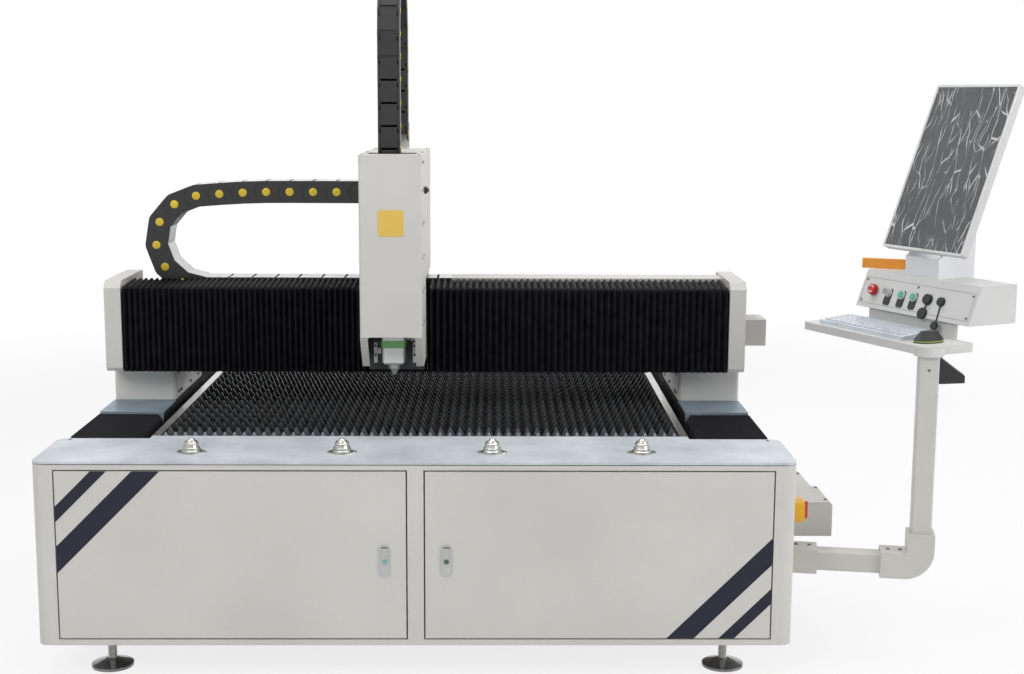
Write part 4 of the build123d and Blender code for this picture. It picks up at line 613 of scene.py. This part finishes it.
def bellows_run(name, node_name, section, start, end, folds, depth, flat, fixed_end, axis, segments):
    """A bellows between two bodies; section gives the cross-section points for a depth behind the crest."""
    length = end - start
    folds_each = folds / segments
    for segment in range(segments):
        first = round(segment * folds_each)
        last = round((segment + 1) * folds_each)
        low = start + length * first / folds
        high = start + length * last / folds
        form = Form()
        profile = fold_profile(low, high, last - first, depth, flat)
        rings = [section(place, behind) for place, behind in profile]
        size = len(rings[0])
        points = [point for ring in rings for point in ring]
        faces = ring_faces(len(rings), size)
        if segment == 0:
            faces.append(tuple(range(size)))
        if segment == segments - 1:
            faces.append(tuple(range(len(points) - 1, len(points) - size - 1, -1)))
        form.add(points, faces)
        piece = make(f"{name}_{segment + 1}", form, None, None, "bellows_cloth")
        middle = (low + high) / 2
        share = (middle - start) / length
        if fixed_end == "end":
            share = 1 - share
        span = share_span(share, length)
        towards = 1 if fixed_end == "start" else -1
        from_place, to_place = (machine_origin + axis * (middle + towards * reach) * mm for reach in span)
        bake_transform(piece)
        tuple(from_place)
        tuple(to_place)
        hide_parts(node_name)


x_fold_depth, x_fold_flat, x_sheet = 13, 3, 28
x_fold_rise, x_roof_rise, x_corner = 6, 9, 8


def x_section(x, behind):
    """Front and top of the beam's cover, seen from its end."""
    front_y = left_bellows_low.y
    back_y = left_bellows_high.y
    low_z, top_z = beam_low.z + 1, left_bellows_high.z + x_fold_rise
    return [
        (x, front_y + behind, low_z),
        (x, front_y + behind, top_z - behind - x_corner),
        (x, front_y + behind + x_corner, top_z - behind),
        (x, back_y, top_z + x_roof_rise - behind),
        (x, back_y, top_z - x_sheet),
        (x, front_y + x_sheet, top_z - x_sheet),
        (x, front_y + x_sheet, low_z),
    ]


bellows_run("x_bellows_left_run", "x_bellows_left", x_section, left_bellows_low.x, left_bellows_high.x, 43,
            x_fold_depth, x_fold_flat, "start", right, 11)
bellows_run("x_bellows_right_run", "x_bellows_right", x_section, right_bellows_low.x, right_bellows_high.x, 46,
            x_fold_depth, x_fold_flat, "end", right, 12)


def y_section(side, bellows_low, bellows_high):
    """The Y bellows over one rail: flat top, and an inner flap that reaches down beside the slat rail."""
    outer = bellows_high.x

    def section(y, behind):
        top = bellows_high.z - behind
        ring = [
            (side * flap_inner, y, flap_bottom),
            (side * flap_outer, y, bellows_low.z + 6),
            (side * (flap_outer + 12), y, top),
            (side * outer, y, top),
            (side * outer, y, bellows_low.z),
            (side * (flap_outer + 6), y, bellows_low.z),
            (side * (flap_inner + flap_thickness), y, flap_bottom),
        ]
        return ring if side > 0 else ring[::-1]

    return section


for side, word in ((-1, "left"), (1, "right")):
    bellows_run(f"y_bellows_front_{word}", "y_bellows_front", y_section(side, front_bellows_low, front_bellows_high),
                front_bellows_low.y, front_bellows_high.y, 60, 5, 1, "start", back, 6)
    bellows_run(f"y_bellows_rear_{word}", "y_bellows_rear", y_section(side, rear_bellows_low, rear_bellows_high),
                rear_bellows_low.y, rear_bellows_high.y, 112, 16, 2, "end", back, 14)


# Drag chains: side plates, crossbars and pins, link by link

def chain_pins(run_in, run_out, pitch, radius, sag=0, sag_length=1):
    """Pin places of a looped chain, one pitch apart: run, half circle that sags at its top, straight run back."""
    turn = math.pi * radius

    def sagged(point):
        ease = 1 if point.x < 0 else max(0, 1 - point.x / sag_length) ** 2
        return Vector((point.x, point.y * (1 - ease * sag / radius))) if point.y > 0 else point

    def place(walked):
        if walked < run_in:
            return sagged(Vector((run_in - walked, radius)))
        if walked < run_in + turn:
            angle = (walked - run_in) / radius
            return sagged(Vector((-radius * math.sin(angle), radius * math.cos(angle))))
        return Vector((walked - run_in - turn, -radius))

    walked = 0
    pins = [place(0)]
    while walked + pitch < run_in + turn + run_out:
        ahead = walked + pitch
        for _ in range(6):
            ahead += pitch - (place(ahead) - pins[-1]).length
        walked = ahead
        pins.append(place(walked))
    return pins


def arc(middle, radius, start, end, steps):
    """Points of an arc from one angle in degrees to another."""
    angles = [math.radians(start + (end - start) * step / steps) for step in range(steps + 1)]
    return [(middle + radius * math.cos(angle), radius * math.sin(angle)) for angle in angles]


def link_plate(pitch, height):
    """Side view of a link: a hollow tail that fits round the last pin's nose, and a round nose on the next pin."""
    radius = height / 2
    play, tail_end = 0.7, 6.7
    reach = math.degrees(math.acos(tail_end / (radius + play)))
    return arc(0, radius + play, reach, -reach, 12) + arc(pitch, radius, -90, 90, 16)


def link_tongue(pitch, height):
    """The part of a link that lies behind the last nose."""
    radius, end = height / 2 - 1, pitch * 0.7
    return arc(0, radius, 90, 270, 12) + [(end, -radius), (end, radius)]


def travel_share(point, run_in, run_out):
    """How much of the moving end's travel a chain point follows: half on the loop, more or less along the runs."""
    if point.x <= 0:
        return 0.5
    if point.y > 0:
        return 0.5 + 0.5 * min(1, point.x / run_in)
    return 0.5 * (1 - min(1, point.x / run_out))


def follow(piece, middle):
    """Bake a chain piece's place into its mesh."""
    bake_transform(piece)


def chain(name, node_names, pins, to_machine, place_of, sizes, runs):
    """All the links of a chain: side plates, covers between them, and pins with their caps."""
    pitch, height, width, wall, bar, cap_radius = sizes
    run_in, run_out = runs
    open_sides = len(node_names) > 1
    for index in range(len(pins) - 1):
        place = place_of(pins[index], pins[index + 1])
        middle = (pins[index] + pins[index + 1]) / 2
        share = travel_share(middle, run_in, run_out)
        on_loop = middle.x <= 0
        plates = Form()
        layer, tongue = wall / 2, wall - 3
        for near, tongue_near in ((0, 3), (width - layer, width - wall)):
            plates.prism(link_plate(pitch, height), layer, place @ Matrix.Translation((0, 0, near)))
            plates.prism(link_tongue(pitch, height), tongue, place @ Matrix.Translation((0, 0, tongue_near)))
        covers = Form()
        gap = pitch * 0.05
        look, slot = (crossbar, "module_aluminium") if open_sides else (None, "chain_plastic")
        spans = [(gap, height / 2 + 0.6, height / 2 - bar, layer + 1 if open_sides else wall)]
        if not open_sides:
            spans.append((-gap, height / 2 - 4, height / 2 - bar - 6, wall))
        for inset, outer_edge, inner_edge, side in spans:
            for edge in (-1, 1):
                low_edge, high_edge = sorted((edge * outer_edge, edge * inner_edge))
                covers.block((inset, low_edge, side), (pitch - inset, high_edge, width - side), place)
        parts = [
            make(f"{name}_link_{index + 1}", plates, None, None, "chain_plastic", 30),
            make(f"{name}_covers_{index + 1}", covers, look, None, slot, 0, 0.8),
        ]
        caps = Form()
        cap = [(cap_radius, 0), (cap_radius, 1.4), (cap_radius - 0.8, 1.8), (3.2, 1.8), (2.8, 1.2)]
        on_pin = place @ Matrix.Translation((pitch, 0, 0))
        caps.lathe(cap, on_pin @ Matrix.Rotation(math.pi, 4, "X"), 20)
        caps.lathe(cap, on_pin @ Matrix.Translation((0, 0, width)), 20)
        parts.append(make(f"{name}_pins_{index + 1}", caps, None, None, "pin_yellow", 30))
        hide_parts(node_names[-1])
        for piece in parts[:2]:
            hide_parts(node_names[0])
            follow(piece, to_machine(middle))
        pin_share = share if on_loop else travel_share(pins[index + 1], run_in, run_out)
        follow(parts[2], to_machine(pins[index + 1]))


x_radius, x_pitch, x_height, x_width = 165, 79.5, 75, 112
x_wall, x_bar, x_cap, x_sag, x_sag_length, x_anchor = 12, 8, 13.8, 12.5, 260, 120
x_loop = x_chain_low.x + x_radius + x_height / 2
x_loop_height = x_chain_low.z + x_radius + x_height / 2
x_side = x_chain_low.y + 2
x_run_in = housing_low.x - x_loop - x_height / 2
x_run_out = x_anchor - x_loop


def x_to_machine(pin):
    return Vector((x_loop + pin.x, x_side, x_loop_height + pin.y))


def x_place(pin, after):
    along = (after - pin).normalized()
    return place_at(x_to_machine(pin), Vector((along.x, 0, along.y)), back)


x_pins = chain_pins(x_run_in, x_run_out, x_pitch, x_radius, x_sag, x_sag_length)
chain("x_chain", ("x_chain_links", "x_chain_pins"), x_pins, x_to_machine, x_place,
      (x_pitch, x_height, x_width, x_wall, x_bar, x_cap), (x_run_in, x_run_out))

z_radius, z_pitch, z_height, z_width = 225, 72, 54, 70
z_wall, z_bar, z_cap, z_anchor = 9, 6, 10, 1519.3
z_near = z_chain_low.y + z_height / 2
z_side = z_chain_low.x + 2
z_loop_height = 1880
z_run_in = z_loop_height - slide_high.z - z_height / 2
z_run_out = z_loop_height - z_anchor


def z_to_machine(pin):
    return Vector((z_side, z_near + z_radius - pin.y, z_loop_height - pin.x))


def z_place(pin, after):
    along = (after - pin).normalized()
    return place_at(z_to_machine(pin), Vector((0, -along.y, -along.x)), right)


z_pins = chain_pins(z_run_in, z_run_out, z_pitch, z_radius)
chain("z_chain", ("z_chain_links",), z_pins, z_to_machine, z_place,
      (z_pitch, z_height, z_width, z_wall, z_bar, z_cap), (z_run_in, z_run_out))


# Black rubber: skirts along the gantry's inner sides, wipers round the saddle
skirts = Form()
for side in (-1, 1):
    ends = (front_bellows_high.y + 1, rear_bellows_low.y - 1)
    outline = [(flap_inner, flap_bottom), (flap_outer, flap_top), (flap_outer + flap_thickness, flap_top),
               (flap_inner + flap_thickness, flap_bottom)]
    points = [(side * x, y, z) for y in ends for x, z in outline]
    faces = [(0, 1, 2, 3), (7, 6, 5, 4)] + [(i, i + 4, (i + 1) % 4 + 4, (i + 1) % 4) for i in range(4)]
    skirts.add(points, faces)
make("gantry_skirts", skirts, None, "gantry", "bellows_cloth")
wipers = Form()
wiper_front, wiper_back = left_bellows_low.y + 2, left_bellows_low.y + 14
wiper_left, wiper_right, wiper_bottom = left_bellows_high.x + 1, right_bellows_low.x - 1, beam_low.z + 2
for low_x, high_x, top in ((wiper_left, wiper_right, saddle_low.z + 8),
                           (wiper_left, saddle_low.x + 2, left_bellows_high.z),
                           (saddle_high.x - 2, wiper_right, left_bellows_high.z)):
    wipers.block((low_x, wiper_front, wiper_bottom), (high_x, wiper_back, top))
make("saddle_wipers", wipers, None, "carriage", "bellows_cloth")


# Doors: diagonal stripes, each between two distances from a corner
stripe_bands = ((104, 150), (222, 302))
stripe_thickness = 0.4
for word, x, z, across, upward in (
    ("left", door_low.x, door_high.z, 1, -1),
    ("right", right_door_high.x, right_door_low.z, -1, 1),
):
    stripes = Form()
    for near, painted_glint_rise in stripe_bands:
        outline = [(x + across * near, z), (x + across * painted_glint_rise, z), (x, z + upward * painted_glint_rise), (x, z + upward * near)]
        stripes.prism(outline, stripe_thickness, stand_at(0, 0, 0, right, front))
    make(f"{word}_door_stripes", stripes, navy_paint, f"door_{word}", "body_paint")


# Dark strip under the top plate, a painted shadow line below its edge, and small screws of the bed
plate_shadow_line = Form()
shadow_line_outline = rounded(plate_high.x - plate_low.x + 0.6, cabinet_high.y + 64.6, 32.3)
shadow_line_middle = Vector((0, cabinet_high.y / 2 + 32, plate_low.z - 0.9))
front_half = [(x, y) for x, y in shadow_line_outline if y < 0]
shadow_line_points = sorted(front_half, key=lambda point: point[0])
shadow_line_outline = shadow_line_points + [(x * 0.985, y + 6 if abs(x) < 1060 else y) for x, y in reversed(shadow_line_points)]
plate_shadow_line.prism(shadow_line_outline, 1.8, Matrix.Translation(shadow_line_middle))
make("top_plate_shadow_line", plate_shadow_line, shadow_line_and_vent_dark, "bed", "body_paint")

transfer_pitch, flange_screw_reach = 441, 34
transfer_middle = (transfer_low.y + transfer_high.y) / 2
flange_top = plate_high.z + 4
transfer_screws = []
for index in range(4):
    for reach in (-flange_screw_reach, flange_screw_reach):
        origin = Vector(((index - 1.5) * transfer_pitch + reach, transfer_middle, flange_top))
        transfer_screws.append(place_at(origin, right, up))
screws("transfer_screws", transfer_screws, "bed", 4.5, 3)
cup_rings, cup_bands = Form(), Form()
lower_ring = [(27, 4), (29.5, 4.5), (29.5, 8), (27, 10), (25.6, 10), (25.6, 16), (23.6, 18), (17, 18)]
upper_ring = [(14, 24.8), (21.6, 25), (22, 26.2), (21.6, 29), (19, 31.4), (14, 32)]
band = [(17, 17.8), (21.2, 18), (20.6, 25), (15, 25.2)]
for index in range(4):
    stand = Matrix.Translation(((index - 1.5) * transfer_pitch, transfer_middle, plate_high.z))
    cup_rings.lathe(lower_ring, stand, 32)
    cup_bands.lathe(band, stand, 32)
    cup_rings.lathe(upper_ring, stand, 32)
make("cup_rings", cup_rings, cup_steel, "bed", "bright_steel", 35)
make("cup_bands", cup_bands, band_brass, "bed", "bright_steel", 35)
corner_screws = [
    stand_at(side * (plate_high.x - 38), cabinet_high.y - 22, plate_high.z, right, up) for side in (-1, 1)
]
screws("top_plate_screws", corner_screws, "bed", 5, 2)

# Key cylinders on the latch paddles
for word, look in (("left", teal_key), ("right", green_key)):
    paddle_low, paddle_high = edges(f"latch_paddle_{word}")
    key_spot = Vector(((paddle_low.x + paddle_high.x) / 2, paddle_low.y, paddle_low.z + 10))
    cylinder = Form()
    cylinder.lathe([(7.6, 0), (7.6, 0.8), (6.6, 1.2), (6, 0.9), (0.1, 0.9)], place_at(key_spot, right, front), 24)
    make(f"key_cylinder_{word}", cylinder, look, f"paddle_{word}", "latch_black", 30)

# Threads of the levelling feet
threads = Form()
thread_pitch, thread_bottom, thread_turns, foot_inset = 4, 24, 17, 62
profile = []
for turn in range(thread_turns):
    height = thread_bottom + turn * thread_pitch
    profile += [(12.2, height), (13.6, height + thread_pitch / 2)]
for side in (-1, 1):
    for row in range(3):
        y = feet_low.y + foot_inset + row * (feet_high.y - feet_low.y - 2 * foot_inset) / 2
        threads.lathe(profile, Matrix.Translation((side * (feet_high.x - foot_inset), y, 0)), 16)
make("foot_threads", threads, None, "bed", "bright_steel", 20)


# Z housing: bare yellow plate, rows of screws and a connector
plate_height, connector_height, rim_height = 1305, 1398, 1515
sign = Form()
sign.prism(rounded(79, 82, 9), 1.2, stand_at(carriage_middle + 1, housing_low.y, plate_height, right, front))
make("housing_plate", sign, sign_yellow, "carriage", "switch_yellow", 0, 0.4)

side_screws = []
for y in (housing_low.y + 30, housing_low.y + 120):
    for height in (985, 1090, 1195, 1300, 1405, 1490):
        side_screws.append(stand_at(housing_high.x, y, height, back, right))
        side_screws.append(stand_at(housing_low.x, y, height, back, -right))
screws("housing_side_screws", side_screws, "carriage", 4.5, 2)
rim_screws = [
    stand_at(carriage_middle + reach, y, rim_height, right, up)
    for reach in (-88, 88)
    for y in (housing_low.y + 40, housing_low.y + 240, 1060)
]
screws("housing_rim_screws", rim_screws, "carriage", 4, 2)
connector = Form()
connector_place = stand_at(housing_high.x, housing_low.y + 170, connector_height, back, right)
connector.prism(rounded(26, 22, 4), 10, connector_place)
connector.lathe([(7, 10), (7, 13), (5, 15)], connector_place, 16)
make("housing_connector", connector, legend_black, "carriage", "port_black", 40, 0.8)

# Inside the arch: guide strips, gas fittings and valves beside the head, collar over the nozzle
slide_front = slide_low.y
strip_reach, strip_half_width, strip_thickness, strip_top = 63, 6, 5, 902
strips, strip_screws = Form(), []
for side in (-1, 1):
    middle = carriage_middle + side * strip_reach
    strips.block((middle - strip_half_width, slide_front - strip_thickness, slide_low.z + 1),
                 (middle + strip_half_width, slide_front, strip_top))
    for height in (862, 892):
        strip_screws.append(stand_at(middle, slide_front - strip_thickness, height, right, front))
make("guide_strips", strips, None, "head", "head_white", 0, 0.8)
screws("guide_screws", strip_screws, "head", 3.6, 3, legend_black)
fittings, valves = Form(), Form()
for form, half_width, front_reach, back_reach, rows in (
    (fittings, 6, 22, 4, ((-49, 868, 888), (43, 914, 940), (57, 910, 944))),
    (valves, 5, 20, 3, ((-49, 888, 912), (43, 940, 966), (57, 944, 962))),
):
    for reach, low, high in rows:
        middle = carriage_middle + reach
        form.block((middle - half_width, slide_front - front_reach, low),
                   (middle + half_width, slide_front - back_reach, high))
make("gas_fittings", fittings, None, "head", "head_white", 0, 2)
make("gas_valves", valves, legend_black, "head", "port_black", 0, 1.5)
nozzle_axis = Vector(((nozzle_low.x + nozzle_high.x) / 2, (nozzle_low.y + nozzle_high.y) / 2, 0))
collar = Form()
collar.lathe([(17, nozzle_high.z - 22), (19, nozzle_high.z - 18), (19, nozzle_high.z - 4), (17, nozzle_high.z)],
             Matrix.Translation(nozzle_axis), 28)
make("nozzle_collar", collar, nozzle_steel, "head", "bright_steel", 30)


# Gantry: metal liners and screws on the end blocks, cover screws
liners = Form()
liner_screws = []
liner_thickness = 2
for side in (-1, 1):
    inner = side * (blocks_high.x - 207)
    face = inner - side * liner_thickness
    low_x, high_x = sorted((inner, face))
    liners.block((low_x, blocks_low.y + 16, blocks_low.z + 3), (high_x, blocks_high.y - 16, blocks_high.z - 2))
    for y in (blocks_low.y + 40, blocks_low.y + 80, blocks_low.y + 240, blocks_low.y + 380):
        for height in (blocks_low.z + 22, blocks_high.z - 24):
            liner_screws.append(stand_at(face, y, height, back, -right * side))
make("block_liners", liners, None, "gantry", "module_aluminium", 0, 0.5)
screws("block_screws", liner_screws, "gantry", 6, 4)
cover_screws = [
    stand_at(side * cover_high.x, y, height, back, right * side)
    for side in (-1, 1)
    for y in (cover_low.y + 40, cover_high.y - 40)
    for height in (cover_low.z + 40, cover_high.z - 60)
    if side < 0 or y < cover_low.y + 60
]
screws("cover_screws", cover_screws, "gantry", 5, 2)


# Electrical box and console arm screws
lid_screws = [
    stand_at(electrical_high.x - inset, y, electrical_high.z, right, up)
    for inset, y in ((16, electrical_low.y + 30), (16, electrical_low.y + 175), (36, electrical_high.y - 30))
]
screws("lid_screws", lid_screws, "bed", 5, 3)
arm_height, arm_depth, arm_half, elbow_end, post_reach = 300, 264, 40, 463, 423
arm_origin = Vector((cabinet_high.x, arm_depth, arm_height))
arm_screws = []
for reach in (55, 95, 330, 365):
    arm_screws.append(place_at(arm_origin + arm_along * reach + up * arm_half, arm_along, up))
for rise in (30, 72):
    arm_screws.append(place_at(arm_origin + arm_along * elbow_end + up * rise, arm_along.cross(up), arm_along))
screws("arm_screws", arm_screws, "bed", 6, 3)
post_side = arm_along.cross(up)
post_screw = [place_at(arm_origin + arm_along * post_reach + post_side * 30 + up * 600, arm_along, post_side)]
screws("post_screw", post_screw, "bed", 4, 2)


# Button panel: edge of its plate, screws, bare legend plates and the arcs on the emergency stop
panel_length = 508
panel_height = 88
panel_middle = (-250, box_bottom + 54)
seam_frame = Form()
outer = rounded(panel_length, panel_height, 4)
inner = rounded(panel_length - 3, panel_height - 3, 3)
points = [(x, y, 0.5) for x, y in outer] + [(x, y, 0.5) for x, y in inner]
seam_frame.add(points, ring_faces(2, len(outer)), panel_place(*panel_middle))
make("panel_seam", seam_frame, panel_edge, "console", "body_paint")
panel_screws = [
    panel_place(panel_middle[0], panel_middle[1]) @ Matrix.Translation((x, y, 0))
    for x in (-panel_length / 2 + 9, 0, panel_length / 2 - 9)
    for y in (-panel_height / 2 + 9, panel_height / 2 - 9)
    if x or y > 0
]
screws("panel_screws", panel_screws, "console", 4, 2)
legends = Form()
for along in (key_place, start_place, stop_place):
    legends.prism(rounded(31, 56, 8), 2, panel_place(along, control_row - 12))
make("legend_plates", legends, legend_black, "console", "port_black", 0, 0.3)
twist = Form()
for turned in (20, 200):
    mark = arc(0, 12.5, turned, turned + 125, 10) + arc(0, 9, turned + 125, turned, 10)
    twist.prism(mark, 0.5, panel_place(estop_place, control_row) @ Matrix.Translation((0, 0, 22.05)))
make("estop_marks", twist, None, "estop", "keyboard_grey")

# Mouse trim
trim = Form()
mouse_middle = console_point(-52, 42, 970)
ring = [(31.6 * math.cos(2 * math.pi * i / 40), 52.6 * math.sin(2 * math.pi * i / 40)) for i in range(40)]
trim.prism(ring, 2.4, place_at(mouse_middle + up * 4, console_along, up))
make("mouse_trim", trim, mouse_edge, "console", "switch_yellow")


# Monitor: silver frame, film, vents on its back and the stand's screw
monitor_origin = console_point(monitor_left, monitor_front, monitor_bottom)
monitor_place = place_at(monitor_origin, console_along, monitor_out)
bezel = Form()
outer = rounded(monitor_width - 1, monitor_height - 1, 8)
inner = rounded(monitor_width - 17, monitor_height - 17, 2)
points = []
for outline, height in ((outer, 0), (outer, 1.2), (inner, 1.2), (inner, -1)):
    points += [(x + monitor_width / 2, y + monitor_height / 2, height) for x, y in outline]
bezel.add(points, ring_faces(4, len(outer)), monitor_place)
make("monitor_bezel", bezel, None, "monitor", "module_aluminium", 40)

film = Form()
columns, rows, film_margin = 26, 40, 10
film_points = []
for row in range(rows + 1):
    for column in range(columns + 1):
        x = film_margin + (monitor_width - 2 * film_margin) * column / columns
        y = film_margin + (monitor_height - 2 * film_margin) * row / rows
        wave = math.sin(0.045 * x + 0.03 * y) + 0.6 * math.sin(0.021 * y - 0.07 * x + 1.3)
        wave += 0.5 * math.sin(0.11 * x + 0.016 * y + 2.1) + chance.uniform(-0.25, 0.25)
        film_points.append((x, y, 0.9 + 0.35 * wave))
film_faces = []
for row in range(rows):
    for column in range(columns):
        a = row * (columns + 1) + column
        film_faces.append((a, a + 1, a + columns + 2, a + columns + 1))
film.add(film_points, film_faces, monitor_place)
make("screen_film", film, clear_film, "monitor", "screen_dark", 60)

vents = Form()
for row in range(9):
    y = monitor_height * 0.58 + row * 14
    slot = rounded(150, 4, 1.9, 3)
    place = monitor_place @ Matrix.Translation((monitor_width / 2, y, -44.4)) @ Matrix.Rotation(math.pi, 4, "Y")
    vents.prism(slot, 0.5, place)
make("monitor_vents", vents, shadow_line_and_vent_dark, "monitor", "port_black")
stand_screw = [place_at(console_point(-190, 300, 1240), console_back, console_along)]
screws("stand_screw", stand_screw, "console", 6, 3)


# Floor, light and camera

def shown_rays(tree):
    """1 for the rays that show the background: camera, glossy and transmission rays."""
    rays = node(tree, "ShaderNodeLightPath")
    shown = rays.outputs["Is Camera Ray"]
    for kind in ("Is Transmission Ray", "Is Glossy Ray"):
        shown = calc(tree, "MAXIMUM", shown, rays.outputs[kind])
    return shown


floor_size = 40
floor_mesh = bpy.data.meshes.new("floor")
floor_corners = [(x * floor_size, y * floor_size, 0) for x, y in ((-1, -1), (1, -1), (1, 1), (-1, 1))]
floor_mesh.from_pydata(floor_corners, [], [(0, 1, 2, 3)])
floor = show("floor", floor_mesh)
floor_material = bpy.data.materials.new("pale_floor")
floor_material.use_nodes = True
floor_tree = floor_material.node_tree
floor_tree.nodes.clear()
matt = node(floor_tree, "ShaderNodeBsdfDiffuse", {"Color": (0.86, 0.86, 0.86, 1)})
glow = node(floor_tree, "ShaderNodeEmission", {"Color": (1, 1, 1, 1), "Strength": 1})
spot = node(floor_tree, "ShaderNodeNewGeometry").outputs["Position"]
away = node(floor_tree, "ShaderNodeVectorMath", {0: spot}, operation="LENGTH").outputs["Value"]
fade = between(floor_tree, away, 2.6, 6, 0.8, 1)
fade.node.interpolation_type = "SMOOTHSTEP"
seen = calc(floor_tree, "MULTIPLY", shown_rays(floor_tree), fade)
both = node(floor_tree, "ShaderNodeMixShader", {0: seen, 1: matt.outputs[0], 2: glow.outputs[0]})
node(floor_tree, "ShaderNodeOutputMaterial", {"Surface": both.outputs[0]})
floor_mesh.materials.append(floor_material)

world = bpy.data.worlds.new("studio")
bpy.context.scene.world = world
world.use_nodes = True
tree = world.node_tree
tree.nodes.clear()
ambient = node(tree, "ShaderNodeBackground", {"Color": (0.97, 0.985, 1, 1), "Strength": 0.26})
white = node(tree, "ShaderNodeBackground", {"Color": (1, 1, 1, 1), "Strength": 1})
mixed = node(tree, "ShaderNodeMixShader", {0: shown_rays(tree), 1: ambient.outputs[0], 2: white.outputs[0]})
node(tree, "ShaderNodeOutputWorld", {"Surface": mixed.outputs[0]})


def softbox(name, place, target, size, power):
    """A large area lamp that looks at a point."""
    lamp = bpy.data.lights.new(name, "AREA")
    lamp.shape = "RECTANGLE"
    lamp.size, lamp.size_y = size
    lamp.energy = power
    box = show(name, lamp)
    box.location = place
    box.rotation_euler = (Vector(target) - Vector(place)).to_track_quat("-Z", "Y").to_euler()


softbox("key_light", (-4.2, -6.5, 5.2), (0, -1, 0.7), (4, 3), 205)
softbox("fill_light", (8.5, -6.5, 4.2), (0, -1.2, 0.7), (5, 4), 450)
softbox("side_light", (7.0, 4.0, 2.4), (0, -1, 1), (4, 3), 110)
softbox("top_light", (0, -0.5, 6.0), (0, -0.2, 0), (6, 6), 235)

camera_place = Vector((-0.1515, -6.5104, 1.6892))
camera_pitch, camera_yaw, camera_roll = (math.radians(angle) for angle in (8.9946, 0.765, 0.2755))
ahead = Vector((
    math.sin(camera_yaw) * math.cos(camera_pitch),
    math.cos(camera_yaw) * math.cos(camera_pitch),
    -math.sin(camera_pitch),
))
level = Vector((math.cos(camera_yaw), -math.sin(camera_yaw), 0))
upright = level.cross(ahead)
across = level * math.cos(camera_roll) + upright * math.sin(camera_roll)
upward = upright * math.cos(camera_roll) - level * math.sin(camera_roll)
camera_data = bpy.data.cameras.new("camera")
camera_data.sensor_fit = "HORIZONTAL"
camera_data.sensor_width = 36
camera_data.lens = 53.06
camera_data.clip_end = 200
camera = show("camera", camera_data)
camera.matrix_world = Matrix.Translation(camera_place) @ Matrix((across, upward, -ahead)).transposed().to_4x4()
bpy.context.scene.camera = camera
bpy.context.scene.view_settings.view_transform = "Standard"
